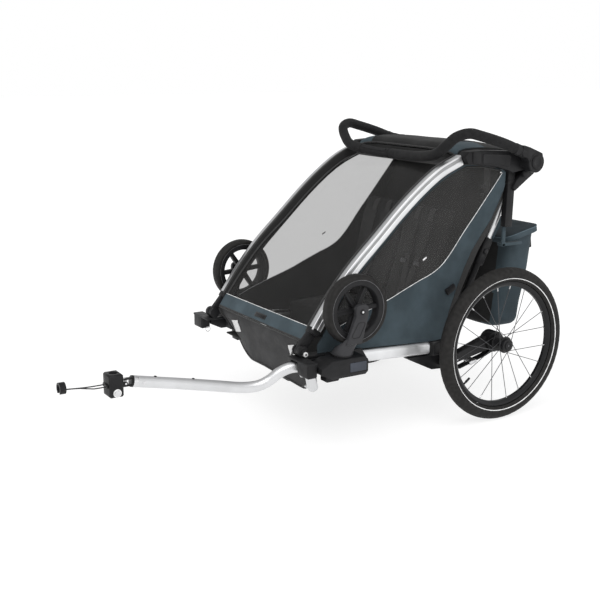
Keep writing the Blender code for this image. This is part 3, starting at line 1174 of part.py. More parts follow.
def side_panel():
    """Cloth side, framed by the tube, the rail, the top piece and the rear wall."""
    line = smooth_line([(*p, 0) for p in TUBE_LINE], 2)
    edge = []
    for before, after in zip(line, line[1:]):
        run = (after - before).normalized()
        offset = TUBE_HEIGHT / 2 + 0.0016
        edge.append(((before.x + after.x) / 2 + run.y * offset, (before.y + after.y) / 2 - run.x * offset))
    edge = [point for point in edge if point[0] > -0.600]
    top = [(-0.115, 0.8235), (-0.055, 0.8212), (0.000, 0.8122), (0.045, 0.8000), (0.0575, 0.7930)]
    rear = [(0.056, 0.750), (0.040, 0.7014), (0.015, 0.6447), (-0.010, 0.600), (-0.045, 0.5516), (-0.085, 0.480),
            (-0.120, 0.410), (-0.166, 0.2745)]
    rail_top = RAIL_HEIGHT / 2 + 0.0004
    deck_top = CORNER_PLATE_TOP + 0.0004
    bottom = [(RAIL_REAR_Y, rail_z(RAIL_REAR_Y) + rail_top), (-0.6190, deck_top), (-0.6560, deck_top)]
    front = [(-0.6560, 0.322), (-0.6380, 0.344)]
    outline = edge + top + rear + bottom + front
    return plate(outline, SIDE_PANEL_X - FABRIC / 2, SIDE_PANEL_X + FABRIC / 2)


def rear_panel():
    line = [(p.x, p.y) for p in smooth_line([Vector(p).to_2d() for p in REAR_PANEL_LINE], 1)]
    return sheet(across_rows(line, REAR_PANEL_HALF_WIDTH, 4), FABRIC, 1.0)


def cushion(low, high, cuts, swell):
    """A stuffed pad that fills a box: a coarse cage, raised or drawn in by a rule, then smoothed."""
    shape = bmesh.new()
    bmesh.ops.create_cube(shape, size=1.0)
    for axis, count in enumerate(cuts):
        edges = [e for e in shape.edges if abs(e.verts[0].co[axis] - e.verts[1].co[axis]) > 0.5]
        bmesh.ops.subdivide_edges(shape, edges=edges, cuts=count, use_grid_fill=True)
    for vert in shape.verts:
        vert.co = swell(Vector([c * (2.2 - 2.4 * abs(c)) for c in vert.co]))
    obj = scratch(as_mesh(shape))
    surface = obj.modifiers.new("Subdivision", "SUBSURF")
    surface.levels = surface.render_levels = 1
    mesh = settled(obj)
    least = [min(v.co[i] for v in mesh.vertices) for i in range(3)]
    most = [max(v.co[i] for v in mesh.vertices) for i in range(3)]
    for vert in mesh.vertices:
        vert.co = [low[i] + (high[i] - low[i]) * (vert.co[i] - least[i]) / (most[i] - least[i]) for i in range(3)]
    return mesh


def seat_bench():
    """Seat pad for two: a crowned half on each side of a channel, its front drawn down."""
    def swell(place):
        if place.z > 0.1:
            place.z += BENCH_CROWN * (1 - (2 * place.y) ** 2) * sin(pi * 2 * abs(place.x)) ** 2
            place.z -= BENCH_CROWN * max(0.0, -place.y - 0.2)
        return place
    base = FLOOR_Z + FLOOR_THICKNESS + GAP
    return cushion((-BENCH_HALF_WIDTH, BENCH_FRONT_Y, base), (BENCH_HALF_WIDTH, BENCH_REAR_Y, base + BENCH_HEIGHT),
                   (5, 2, 1), swell)


def seat_back():
    """A crowned back on its cross-wise hinge line, with one channel, leaning rearwards."""
    def swell(place):
        if place.y < -0.1:
            place.y -= SEAT_BACK_CROWN * (1 - (2 * place.x) ** 2) * (1 - (2 * place.z) ** 2)
            if abs(place.z) < 0.05:
                place.y += SEAT_BACK_CROWN
        return place
    y, z = SEAT_PIVOT
    half = SEAT_BACK_THICKNESS / 2
    shape = cushion((SEAT_GAP, y - half, z), (SEAT_GAP + SEAT_WIDTH, y + half, z + SEAT_BACK_LENGTH), (3, 0, 3), swell)
    about = Matrix.Translation((0, y, z)) @ Matrix.Rotation(-radians(SEAT_BACK_LEAN_DEG), 4, "X")
    shape.transform(about @ Matrix.Translation((0, -y, -z)))
    return shape


def cargo_bag():
    """Open-topped bag that narrows downwards."""
    shape = bmesh.new()
    top = [(BAG_HALF_WIDTH, BAG_TOP_FRONT), (BAG_HALF_WIDTH, BAG_TOP_REAR)]
    bottom = [(BAG_HALF_WIDTH - BAG_TAPER, BAG_BOTTOM_FRONT), (BAG_HALF_WIDTH - BAG_TAPER, BAG_BOTTOM_REAR)]
    corners = {}
    for level, points in (("top", top), ("bottom", bottom)):
        for side in (1, -1):
            for end, (x, (y, z)) in zip(("front", "rear"), points):
                corners[level, side, end] = shape.verts.new((side * x, y, z))
    around = [(1, "front"), (1, "rear"), (-1, "rear"), (-1, "front")]
    for a, b in zip(around, around[1:] + around[:1]):
        shape.faces.new([corners[("top", *a)], corners[("bottom", *a)], corners[("bottom", *b)],
                         corners[("top", *b)]])
    shape.faces.new([corners[("bottom", *a)] for a in reversed(around)])
    bmesh.ops.recalc_face_normals(shape, faces=shape.faces)
    edges = [e for e in shape.edges if len(e.link_faces) == 2]
    bmesh.ops.bevel(shape, geom=edges, offset=BAG_CORNER, segments=2, affect="EDGES", profile=0.5)
    obj = scratch(as_mesh(shape))
    solidify = obj.modifiers.new("Solidify", "SOLIDIFY")
    solidify.thickness = FABRIC
    solidify.offset = -1.0
    solidify.use_even_offset = True
    return tidied(settled(obj))


def bag_lid():
    run = Vector(BAG_TOP_REAR) - Vector(BAG_TOP_FRONT)
    slope = atan2(run.y, run.x)
    middle = (Vector(BAG_TOP_REAR) + Vector(BAG_TOP_FRONT)) / 2
    half = run.length / 2 + LID_OVERHANG
    lift = LID_THICKNESS / 2 + 0.0014
    low = (-BAG_HALF_WIDTH - LID_OVERHANG, middle.x - half, middle.y + lift - LID_THICKNESS / 2)
    high = (BAG_HALF_WIDTH + LID_OVERHANG, middle.x + half, middle.y + lift + LID_THICKNESS / 2)
    return box(low, high, 0.002, 1, slope)


# The assembly

def principled(name):
    colour, roughness, metallic = COLOURS[name]
    material = bpy.data.materials.new(name)
    material.use_nodes = True
    shader = material.node_tree.nodes["Principled BSDF"]
    shader.inputs["Base Color"].default_value = (*colour, 1.0)
    shader.inputs["Roughness"].default_value = roughness
    shader.inputs["Metallic"].default_value = metallic
    material.diffuse_color = (*colour, 1.0)
    return material


def place(name, mesh, material, pivot=(0, 0, 0)):
    """Make a node of the mesh, with its origin at pivot, under the trailer's empty."""
    mesh = tidied(mesh, outward=False)
    mesh.name = name
    mesh.transform(Matrix.Translation([-c for c in pivot]))
    mesh.materials.clear()
    mesh.materials.append(MATERIALS[material])
    mesh.shade_smooth()
    mesh.set_sharp_from_angle(angle=radians(35))
    obj = bpy.data.objects.new(name, mesh)
    obj.location = pivot
    obj.parent = trailer
    parts.objects.link(obj)


def place_pair(name, make, material, pivot=(0, 0, 0)):
    place("left_" + name, make(), material, pivot)
    place("right_" + name, mirrored(make()), material, (-pivot[0], pivot[1], pivot[2]))


def build():
    wheel_centre = (WHEEL_X, 0, WHEEL_RADIUS)
    place_pair("tyre", tyre, "rubber", wheel_centre)
    place_pair("wheel", wheel, "black_metal", wheel_centre)
    place_pair("wheel_button", wheel_button, "black_plastic", wheel_centre)
    arm_pivot = (ARM_INNER_X, *ARM_PIVOT)
    place_pair("swing_arm", swing_arm, "black_metal", arm_pivot)
    place_pair("spring_adjuster", spring_adjuster, "black_plastic", tuple(leaf_middle()[0]))

    place_pair("side_rail", side_rail, "aluminium")
    place_pair("front_corner", front_corner, "black_plastic")
    place("front_crossbar", front_crossbar(), "black_metal")
    place("rear_crossmember", rear_crossmember(), "black_metal")
    place("brake_pedal", brake_pedal(), "black_plastic", (0, *PEDAL_PIVOT))
    place("floor_pan", floor_pan(), "dark_fabric")

    frame_pivot = (TUBE_X, *FRAME_PIVOT)
    place_pair("front_tube", front_tube, "aluminium", frame_pivot)
    place_pair("top_piece", top_piece, "black_plastic", frame_pivot)
    place("top_bar", top_bar(), "black_metal", (0, *FRAME_PIVOT))
    place("front_cover", front_cover(), "dark_fabric", (0, *FRAME_PIVOT))
    place("roof", roof(), "dark_fabric", (0, *FRAME_PIVOT))
    place("handlebar", handlebar(), "foam", (0, *HUB_POINT))
    place_pair("hub_button", hub_button, "black_plastic", (HUB_END_OUTER_X, *HUB_POINT))
    place("rear_frame", rear_frame(), "aluminium", (0, *REAR_TOP))
    place_pair("rear_leg", rear_leg, "black_plastic", (REAR_FRAME_X, *REAR_TOP))
    place_pair("latch_button", latch_button, "black_plastic", tuple(latch_centre()))

    flip_axis = (CASTER_X, SWIVEL_Y, CASTER_FLIP_Z)
    caster_centre = (CASTER_X, CASTER_WHEEL_Y, CASTER_WHEEL_Z)
    place_pair("flip_housing", caster_housing, "black_plastic", flip_axis)
    place_pair("flip_button", flip_button, "slate_fabric", flip_axis)
    place_pair("stroller_leg", caster_leg, "black_plastic", flip_axis)
    place_pair("stroller_wheel", caster_wheel, "black_plastic", caster_centre)
    place_pair("stroller_tyre", caster_tyre, "rubber", caster_centre)

    tail = (TAIL_END_X, *TAIL_POINT)
    yaw = (HITCH_X, YAW_Y, HITCH_Z)
    place("hitch_arm", hitch_arm(), "aluminium", tail)
    place("hitch_saddle", hitch_saddle(), "black_plastic")
    place("hitch_neck", hitch_neck(), "black_metal", yaw)
    place("snap_button", snap_button(), "black_plastic", tuple(snap_centre()))
    place("hitch_knuckle", hitch_knuckle(), "steel", yaw)
    place("hitch_coupler", hitch_coupler(), "black_plastic", yaw)
    place("lock_pin", lock_pin(), "steel", (HITCH_X, LOCK_PIN_Y, LOCK_PIN_Z))
    place("stay_wire", stay_wire(), "black_metal", yaw)

    place("nose_tub", nose_tub(), "grey_fabric")
    place_pair("side_panel", side_panel, "slate_fabric")
    place("rear_panel", rear_panel(), "dark_fabric")
    place("seat_bench", seat_bench(), "dark_fabric")
    place_pair("seat_back", seat_back, "dark_fabric", (0, *SEAT_PIVOT))
    place("cargo_bag", cargo_bag(), "slate_fabric")
    place("bag_lid", bag_lid(), "slate_fabric", (0, *BAG_TOP_FRONT))


MATERIALS = {name: principled(name) for name in COLOURS}
parts = bpy.data.collections.new("child_bike_trailer")
bpy.context.scene.collection.children.link(parts)
trailer = bpy.data.objects.new("trailer", None)
trailer.location = (0, ORIGIN_Y, 0)
parts.objects.link(trailer)
build()
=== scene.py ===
"""Finished looks of a child bike trailer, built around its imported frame.

Sizes are in metres. Points are written as (x, y, z) from the rear axle's middle line: x to the
trailer's left, y to its rear, z up from the ground. AXLE_Y brings them into the frame's place.
A line in the side view has (y, z) points. A piece is drawn on the left and mirrored to the right.
"""

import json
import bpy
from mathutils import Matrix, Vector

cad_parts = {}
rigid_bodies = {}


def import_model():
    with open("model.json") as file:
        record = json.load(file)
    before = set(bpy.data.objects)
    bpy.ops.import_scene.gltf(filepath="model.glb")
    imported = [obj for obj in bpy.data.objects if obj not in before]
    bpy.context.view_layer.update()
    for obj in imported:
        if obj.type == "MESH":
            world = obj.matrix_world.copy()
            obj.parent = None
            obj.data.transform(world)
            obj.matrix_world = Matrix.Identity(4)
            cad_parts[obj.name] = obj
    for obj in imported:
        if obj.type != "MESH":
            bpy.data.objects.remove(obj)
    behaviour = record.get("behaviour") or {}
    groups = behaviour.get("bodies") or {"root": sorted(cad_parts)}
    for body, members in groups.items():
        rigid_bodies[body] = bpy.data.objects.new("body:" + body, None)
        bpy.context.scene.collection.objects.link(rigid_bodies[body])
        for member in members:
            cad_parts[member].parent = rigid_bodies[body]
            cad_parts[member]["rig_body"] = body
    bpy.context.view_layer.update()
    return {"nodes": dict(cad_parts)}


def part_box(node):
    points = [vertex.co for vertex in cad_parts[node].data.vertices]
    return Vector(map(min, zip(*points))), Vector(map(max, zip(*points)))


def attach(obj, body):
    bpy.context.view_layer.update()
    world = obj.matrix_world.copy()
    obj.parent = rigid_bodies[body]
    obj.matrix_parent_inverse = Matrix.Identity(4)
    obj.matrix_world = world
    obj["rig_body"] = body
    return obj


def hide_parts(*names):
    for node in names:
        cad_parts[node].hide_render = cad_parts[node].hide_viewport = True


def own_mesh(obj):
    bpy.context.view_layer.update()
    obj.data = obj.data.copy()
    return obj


bl_info = {
    "name": "Child bike trailer",
    "version": (1, 0, 0),
    "blender": (4, 5, 0),
    "location": "View3D > Sidebar > Trailer",
    "description": "Builds the tyres, cloth, windows, mouldings and fittings of a child bike trailer",
    "category": "Add Mesh",
}

from math import atan2, cos, degrees, pi, radians, sin

import bmesh
import bpy
from bpy.props import FloatProperty, FloatVectorProperty, IntProperty, PointerProperty
from mathutils import Matrix, Vector, noise

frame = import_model()
wheel_low, wheel_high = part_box("left_wheel")
AXLE_Y = (wheel_low[1] + wheel_high[1]) / 2
SIDES = (("left", 1), ("right", -1))

# Left rear wheel, and the left tube along the cabin's front edge
WHEEL_CENTRE = Vector((0.366, 0.0, 0.250))
TUBE_X = 0.278
TUBE_LINE = [(-0.663, 0.365), (-0.600, 0.452), (-0.529, 0.533), (-0.440, 0.616), (-0.356, 0.694),
             (-0.282, 0.755), (-0.206, 0.806), (-0.130, 0.8386)]
FRAME_PIVOT = Vector((0.0, -0.712, 0.312))

# Front cover and roof: half their width and their line from the low front end
COVER_HALF = 0.2615
COVER_LINE = [(-0.694, 0.338), (-0.668, 0.374), (-0.604, 0.456), (-0.530, 0.537), (-0.440, 0.614),
              (-0.356, 0.690), (-0.282, 0.749), (-0.206, 0.797), (-0.155, 0.816), (-0.1375, 0.826),
              (-0.1345, 0.843)]
ROOF_HALF = 0.2656
ROOF_LINE = [(-0.1295, 0.8620), (-0.124, 0.877), (-0.108, 0.886), (-0.060, 0.889), (0.0, 0.886),
             (0.060, 0.878), (0.105, 0.868)]

# Side cloth: its plane, the seam under the window, its rear edge, and the wall behind the seats
SIDE_X = 0.287
SIDE_SEAM = [(-0.612, 0.354), (-0.560, 0.376), (-0.480, 0.403), (-0.399, 0.429), (-0.347, 0.450),
             (-0.285, 0.474), (-0.241, 0.4895), (-0.205, 0.508), (-0.178, 0.531), (-0.151, 0.561),
             (-0.111, 0.611), (-0.064, 0.665), (-0.025, 0.711), (0.014, 0.757), (0.0425, 0.7915)]
SIDE_REAR = [(0.0555, 0.750), (0.0395, 0.7014), (0.0145, 0.6447), (-0.0105, 0.600),
             (-0.0455, 0.5516), (-0.0855, 0.480), (-0.1205, 0.410), (-0.1665, 0.2748)]
REAR_LINE = [(-0.163, 0.277), (-0.105, 0.436), (-0.052, 0.555), (0.0, 0.668), (0.053, 0.786)]

# Handlebar: its pivot and the left half of the bar, from the hub to the middle
HUB = Vector((0.0, 0.127, 0.825))
BAR_LINE = [(0.33625, 0.098, 0.852), (0.33625, 0.001, 0.888), (0.33125, -0.089, 0.914),
            (0.32425, -0.133, 0.923), (0.30625, -0.170, 0.911), (0.27225, -0.184, 0.880),
            (0.22425, -0.187, 0.854), (0.110, -0.1715, 0.8405), (0.0, -0.162, 0.838)]

# Hitch arm, from the coupler's end to the crossbar
ARM_LINE = [(0.2205, -1.213, 0.286), (0.224, -1.080, 0.258), (0.231, -0.960, 0.232),
            (0.240, -0.885, 0.217), (0.250, -0.837, 0.217), (0.260, -0.806, 0.230),
            (0.271, -0.780, 0.251), (0.281, -0.755, 0.264), (0.287, -0.728, 0.267),
            (0.288, -0.702, 0.262), (0.288, -0.684, 0.246), (0.287, -0.677, 0.222),
            (0.283, -0.671, 0.202), (0.270, -0.660, 0.190), (0.250, -0.650, 0.186),
            (0.225, -0.645, 0.186), (0.085, -0.645, 0.186)]

# Left stroller wheel's middle, and the foot of its swivel
STROLLER = Vector((0.349, -0.564, 0.4316))
SWIVEL = Vector((0.349, -0.609, 0.2993))

# Cargo bag: front and rear edge of its mouth and of its floor
BAG_TOP = ((0.100, 0.566), (0.247, 0.598))
BAG_BOTTOM = ((0.080, 0.262), (0.200, 0.262))


# Sizes and colours that a user would change

def length(name, description, default):
    return FloatProperty(name=name, description=description, default=default, min=0.0, max=2.0,
                         unit="LENGTH", precision=4)


def paint(name, description, default):
    return FloatVectorProperty(name=name, description=description, default=default,
                               subtype="COLOR", min=0.0, max=1.0, size=3)


def factor(name, description, default):
    return FloatProperty(name=name, description=description, default=default, min=0.0, max=1.0,
                         subtype="FACTOR")


class TrailerSizes(bpy.types.PropertyGroup):
    """Sizes and counts of the trailer's trim and wheels"""
    piping: length("Piping radius", "Radius of the white piping along the seams", 0.0010)
    binding: length("Binding width", "Width of the black binding beside the front window", 0.013)
    stripe: length("Stripe width", "Width of the reflecting stripe on the tyres", 0.0026)
    tread_depth: length("Tread depth", "Depth of the cuts in the tyre's shoulders", 0.0013)
    tread_blocks: IntProperty(name="Tread blocks", description="Shoulder blocks round each tyre",
                              default=64, min=20, max=120)
    spokes: IntProperty(name="Spokes", description="Spokes in each rear wheel", default=20,
                        min=12, max=36)
    edge: length("Edge rounding", "Rounding on the moulded parts' edges", 0.0016)
    strap: length("Strap width", "Width of the harness webbing", 0.024)


class TrailerColours(bpy.types.PropertyGroup):
    """Colours that the finishes start from"""
    slate: paint("Slate cloth", "Blue grey outer cloth", (0.062, 0.086, 0.101))
    lining: paint("Lining", "Dark cloth of the inside and the seats", (0.019, 0.019, 0.019))
    nose: paint("Nose cloth", "Coated grey cloth of the front", (0.037, 0.037, 0.038))
    plastic: paint("Moulded plastic", "Black moulded parts", (0.0115, 0.0115, 0.0125))
    foam: paint("Grip foam", "Foam of the handlebar", (0.0130, 0.0130, 0.0135))
    rubber: paint("Rubber", "Rubber of the tyres", (0.0150, 0.0143, 0.0138))
    film: paint("Window film", "Tint of the see-through windows", (0.085, 0.084, 0.083))
    metal: paint("Aluminium", "Bare aluminium of the frame", (0.74, 0.745, 0.755))
    piping: paint("Piping", "Piping, reflectors and tyre stripe", (0.82, 0.82, 0.82))
    film_cover: factor("Film cover", "How much the window film hides", 0.33)


class StudioSettings(bpy.types.PropertyGroup):
    """Floor, light and lens of the picture"""
    floor: paint("Floor", "Plain floor", (0.30, 0.30, 0.30))
    glow: FloatProperty(name="Floor glow", description="How much light the floor gives by itself",
                        default=0.78, min=0.0, max=2.0)
    sky: FloatProperty(name="Soft light", description="Strength of the light from all round",
                       default=1.0, min=0.0, max=5.0)
    dome: factor("Upper sky", "Brightness of the sky overhead, beside the horizon's", 0.50)
    key: FloatProperty(name="Key light", description="Strength of the large light above",
                       default=1.5, min=0.0, max=20.0)
    lens: FloatProperty(name="Lens", description="Focal length in millimetres", default=61.716,
                        min=10, max=300, unit="CAMERA")


def sizes():
    return bpy.context.scene.trailer_sizes


def colours():
    return bpy.context.scene.trailer_colours


# Finishes

SOCKETS = {"sheen": "Sheen Weight", "sheen_roughness": "Sheen Roughness",
           "specular": "Specular IOR Level", "alpha": "Alpha", "glow": "Emission Strength"}
WAVE_PERIOD = 0.314


class Finish:
    """One material: a Principled shader whose colour, roughness and relief are wired to textures."""

    def __init__(self, name, colour, roughness, metallic=0.0, **sockets):
        self.material = bpy.data.materials.new(name)
        self.material.use_nodes = True
        self.tree = self.material.node_tree
        self.shader = self.tree.nodes["Principled BSDF"]
        self.shader.inputs["Base Color"].default_value = (*colour, 1.0)
        self.shader.inputs["Roughness"].default_value = roughness
        self.shader.inputs["Metallic"].default_value = metallic
        for socket, value in sockets.items():
            self.shader.inputs[SOCKETS[socket]].default_value = value
        self.colour = colour
        self.relief = None
        self.place = self.tree.nodes.new("ShaderNodeTexCoord").outputs["Object"]

    def stretched(self, scale):
        """The place in the object, scaled along each axis."""
        mapping = self.tree.nodes.new("ShaderNodeMapping")
        mapping.inputs["Scale"].default_value = scale
        self.tree.links.new(self.place, mapping.inputs["Vector"])
        return mapping.outputs["Vector"]

    def cloud(self, size, detail=3.0, stretch=(1, 1, 1)):
        """Soft random spots about size across."""
        node = self.tree.nodes.new("ShaderNodeTexNoise")
        node.inputs["Scale"].default_value = 1 / size
        node.inputs["Detail"].default_value = detail
        self.tree.links.new(self.stretched(stretch), node.inputs["Vector"])
        return node.outputs["Fac"]

    def lines(self, spacing, direction):
        """Parallel ridges, spacing apart. A wave texture repeats every WAVE_PERIOD at scale 1."""
        node = self.tree.nodes.new("ShaderNodeTexWave")
        node.bands_direction = direction
        node.inputs["Scale"].default_value = WAVE_PERIOD / spacing
        self.tree.links.new(self.place, node.inputs["Vector"])
        return node.outputs["Fac"]

    def ranged(self, value, low, high, start=0.3, end=0.7):
        """The value's stretch from start to end, brought to low and high."""
        node = self.tree.nodes.new("ShaderNodeMapRange")
        node.inputs["From Min"].default_value = start
        node.inputs["From Max"].default_value = end
        node.inputs["To Min"].default_value = low
        node.inputs["To Max"].default_value = high
        self.tree.links.new(value, node.inputs["Value"])
        return node.outputs["Result"]

    def combined(self, operation, first, second):
        node = self.tree.nodes.new("ShaderNodeMath")
        node.operation = operation
        self.tree.links.new(first, node.inputs[0])
        self.tree.links.new(second, node.inputs[1])
        return node.outputs["Value"]

    def tinted(self, factor, low, high):
        """Colour from low to high times the base, by factor."""
        node = self.tree.nodes.new("ShaderNodeMix")
        node.data_type = "RGBA"
        node.inputs["A"].default_value = (*[c * low for c in self.colour], 1.0)
        node.inputs["B"].default_value = (*[min(1.0, c * high) for c in self.colour], 1.0)
        self.tree.links.new(factor, node.inputs["Factor"])
        self.tree.links.new(node.outputs["Result"], self.shader.inputs["Base Color"])

    def spotted(self, size, low, high, detail=3.0):
        """Soft spots about size across, from low to high times the base colour."""
        self.tinted(self.ranged(self.cloud(size, detail), 0.0, 1.0), low, high)

    def polished(self, value, low, high):
        """Roughness from low to high, by value."""
        self.tree.links.new(self.ranged(value, low, high), self.shader.inputs["Roughness"])

    def raised(self, value, height, strength):
        """Relief of that height in metres, added over the relief before it."""
        node = self.tree.nodes.new("ShaderNodeBump")
        node.inputs["Distance"].default_value = height
        node.inputs["Strength"].default_value = strength
        self.tree.links.new(value, node.inputs["Height"])
        if self.relief:
            self.tree.links.new(self.relief, node.inputs["Normal"])
        self.relief = node.outputs["Normal"]
        self.tree.links.new(self.relief, self.shader.inputs["Normal"])

    def woven(self, warp, weft, across="X"):
        """Threads of two spacings that cross."""
        first = self.lines(warp, across)
        second = self.lines(weft, "Z")
        return self.combined("MULTIPLY", first, second)


def cloth_finish(name, colour, thread=0.0016, soft=0.09, roughness=0.88):
    """Woven cloth with soft creases about soft apart, and painted shade of such creases in its colour."""
    finish = Finish(name, colour, roughness, sheen=0.06, sheen_roughness=0.5, specular=0.15)
    weave = finish.woven(thread, thread * 1.15, "DIAGONAL")
    # Painted shade of folds: a soft noise darkens and pales the colour, added to the threads' own pattern.
    fold_shade = finish.ranged(finish.cloud(soft), -0.35, 0.75)
    threads = finish.ranged(weave, 0.0, 0.35, 0.0, 1.0)
    finish.tinted(finish.combined("ADD", fold_shade, threads), 0.78, 1.20)
    finish.polished(finish.cloud(0.03), roughness - 0.10, roughness + 0.08)
    finish.raised(finish.cloud(soft * 0.9, 2.0), height=0.0030, strength=0.30)
    finish.raised(weave, height=0.00025, strength=0.55)
    return finish.material


def plastic_finish(name, colour, roughness=0.48, grain=0.0009):
    """Moulded plastic with a fine grain."""
    finish = Finish(name, colour, roughness, specular=0.22)
    finish.spotted(0.05, 0.85, 1.25)
    finish.polished(finish.cloud(0.02, 4.0), roughness - 0.07, roughness + 0.09)
    finish.raised(finish.cloud(grain, 1.0), height=0.00012, strength=0.5)
    return finish.material


def metal_finish(name, colour, roughness, brushed, grain=0.002):
    """Bare metal, brushed along the axes on which its grain is stretched."""
    finish = Finish(name, colour, roughness, metallic=1.0)
    finish.spotted(0.08, 0.93, 1.04, 2.0)
    finish.polished(finish.cloud(grain, 3.0, brushed), roughness - 0.06, roughness + 0.08)
    finish.raised(finish.cloud(grain, 2.0, brushed), height=0.00006, strength=0.35)
    return finish.material


def rubber_finish(name, colour, roughness=0.72):
    finish = Finish(name, colour, roughness, specular=0.22)
    finish.spotted(0.012, 0.75, 1.55, 4.0)
    finish.polished(finish.cloud(0.006), roughness - 0.10, roughness + 0.12)
    finish.raised(finish.cloud(0.0012, 2.0), height=0.0002, strength=0.5)
    return finish.material


def foam_finish(name, colour):
    finish = Finish(name, colour, 0.82, specular=0.18, sheen=0.04)
    finish.spotted(0.020, 0.80, 1.30, 4.0)
    finish.polished(finish.cloud(0.008), 0.74, 0.92)
    finish.raised(finish.cloud(0.0014), height=0.0003, strength=0.7)
    return finish.material


def film_finish(name, colour, cover):
    """Tinted see-through film with a faint pull in it."""
    finish = Finish(name, colour, 0.20, alpha=cover, specular=0.2)
    finish.spotted(0.10, 0.85, 1.20)
    finish.polished(finish.cloud(0.05), 0.14, 0.30)
    finish.raised(finish.cloud(0.150, 1.0, (1.0, 1.0, 0.35)), height=0.0010, strength=0.25)
    return finish.material


def reflector_finish(name, colour):
    """Pale reflecting tape with fine ribs."""
    finish = Finish(name, colour, 0.35, specular=0.7)
    ribs = finish.lines(0.0045, "X")
    finish.tinted(finish.ranged(ribs, 0.0, 1.0, 0.2, 0.8), 0.55, 1.10)
    finish.raised(ribs, height=0.0006, strength=0.8)
    return finish.material


def webbing_finish(name, colour):
    """Coarsely woven strap."""
    finish = Finish(name, colour, 0.80, sheen=0.2, specular=0.3)
    ribs = finish.woven(0.0022, 0.0016)
    finish.tinted(finish.ranged(ribs, 0.0, 1.0, 0.1, 0.9), 0.65, 1.45)
    finish.raised(ribs, height=0.0004, strength=0.8)
    return finish.material


def times(colour, share):
    """The colour made darker or paler."""
    return [c * share for c in colour]


finishes = {}


def make_finishes():
    """All the trailer's finishes, under the names that the pieces ask for."""
    chosen = colours()
    along_tube = (1, 0.06, 0.06)
    evenly = (1, 1, 1)
    slate, lining, plastic, metal = chosen.slate, chosen.lining, chosen.plastic, chosen.metal
    finishes.clear()
    finishes.update({
        "slate": cloth_finish("slate cloth", slate),
        "lining": cloth_finish("lining cloth", lining, 0.0018, 0.12),
        "nose": cloth_finish("coated nose cloth", chosen.nose, 0.0014, 0.07, 0.70),
        "roof": cloth_finish("roof cloth", times(lining, 1.25), 0.0014, 0.08, 0.82),
        "plastic": plastic_finish("moulded black plastic", plastic),
        "fine plastic": plastic_finish("smooth black plastic", plastic, 0.36, 0.0006),
        "button": plastic_finish("slate button plastic", (0.050, 0.056, 0.070), 0.42),
        "black metal": plastic_finish("black painted metal", times(plastic, 0.9), 0.34, 0.0012),
        "foam": foam_finish("grip foam", chosen.foam),
        "tyre": rubber_finish("tyre rubber", chosen.rubber),
        "wheel rubber": rubber_finish("stroller tyre rubber", times(chosen.rubber, 0.85), 0.62),
        "aluminium": metal_finish("brushed aluminium", metal, 0.36, along_tube),
        # A paler copy of the slate cloth for the lid's edge cord: painted highlight.
        "pale edge": cloth_finish("slate edge painted highlight", times(slate, 1.9)),
        # A darker copy of the aluminium for the tube's slot: painted shade in the groove.
        "satin alloy": metal_finish("rail channel in painted shade", times(metal, 0.52), 0.50, along_tube),
        "arm": metal_finish("matt silver arm", times(metal, 0.93), 0.42, evenly, 0.0010),
        "steel": metal_finish("bright steel", (0.70, 0.70, 0.71), 0.26, evenly, 0.0008),
        "spoke": metal_finish("dark spoke steel", (0.10, 0.10, 0.105), 0.32, evenly, 0.0010),
        "film": film_finish("tinted window film", chosen.film, chosen.film_cover),
        "front film": film_finish("front window film", times(chosen.film, 0.5), chosen.film_cover),
        # A darker copy of the slate cloth for the lid's top face: painted shade.
        "lid": cloth_finish("bag lid top cloth in painted shade", times(slate, 0.48)),
        # A darker copy of the slate cloth for the sides and the bag: painted shade.
        "shaded slate": cloth_finish("side slate cloth in painted shade", times(slate, 0.80)),
        "grey plastic": plastic_finish("grey moulded plastic", times(plastic, 2.9), 0.42),
        "piping": rubber_finish("white piping", chosen.piping, 0.45),
        "reflector": reflector_finish("ribbed reflector", chosen.piping),
        "webbing": webbing_finish("black webbing", times(lining, 0.9)),
        "line": rubber_finish("grey wheel line", (0.11, 0.11, 0.115), 0.5),
    })


# Shapes

def smooth_line(points, steps):
    """Points along a smooth curve through the given ones, steps to each stretch."""
    points = [Vector(p) for p in points]
    padded = [2 * points[0] - points[1]] + points + [2 * points[-1] - points[-2]]
    line = []
    for before, start, end, after in zip(padded, padded[1:], padded[2:], padded[3:]):
        bend = 2 * before - 5 * start + 4 * end - after
        twist = 3 * start - before - 3 * end + after
        for step in range(steps):
            t = step / steps
            line.append(0.5 * (2 * start + (end - before) * t + bend * t ** 2 + twist * t ** 3))
    return line + [points[-1]]


def side_line(points, x, steps):
    """A side view's (y, z) points as a smooth line at one x."""
    return smooth_line([(x, y, z) for y, z in points], steps)


def run_of(line):
    """Length of a line of points."""
    return sum((b - a).length for a, b in zip(line, line[1:]))


def rounded(corners, steps=4):
    """An outline of corners (a, b, radius), each corner rounded off by an arc."""
    outline = []
    count = len(corners)
    for i, (a, b, radius) in enumerate(corners):
        here = Vector((a, b))
        to_last = Vector(corners[i - 1][:2]) - here
        to_next = Vector(corners[(i + 1) % count][:2]) - here
        if not radius:
            outline.append((a, b))
            continue
        half = to_last.angle(to_next) / 2
        reach = min(radius / abs(sin(half) / cos(half)), 0.49 * min(to_last.length, to_next.length))
        start = here + to_last.normalized() * reach
        end = here + to_next.normalized() * reach
        for step in range(steps + 1):
            t = step / steps
            outline.append(tuple((1 - t) ** 2 * start + 2 * t * (1 - t) * here + t ** 2 * end))
    return outline


def polar(radius, angle):
    return radius * cos(angle), radius * sin(angle)


def circle(radius, sides):
    return [polar(radius, 2 * pi * i / sides) for i in range(sides)]


def squared(half_a, half_b, power, sides):
    """An oval outline, the more squared off the lower its power."""
    outline = []
    for c, s in circle(1.0, sides):
        a = half_a * abs(c) ** power * (1 if c > 0 else -1)
        b = half_b * abs(s) ** power * (1 if s > 0 else -1)
        outline.append((a, b))
    return outline


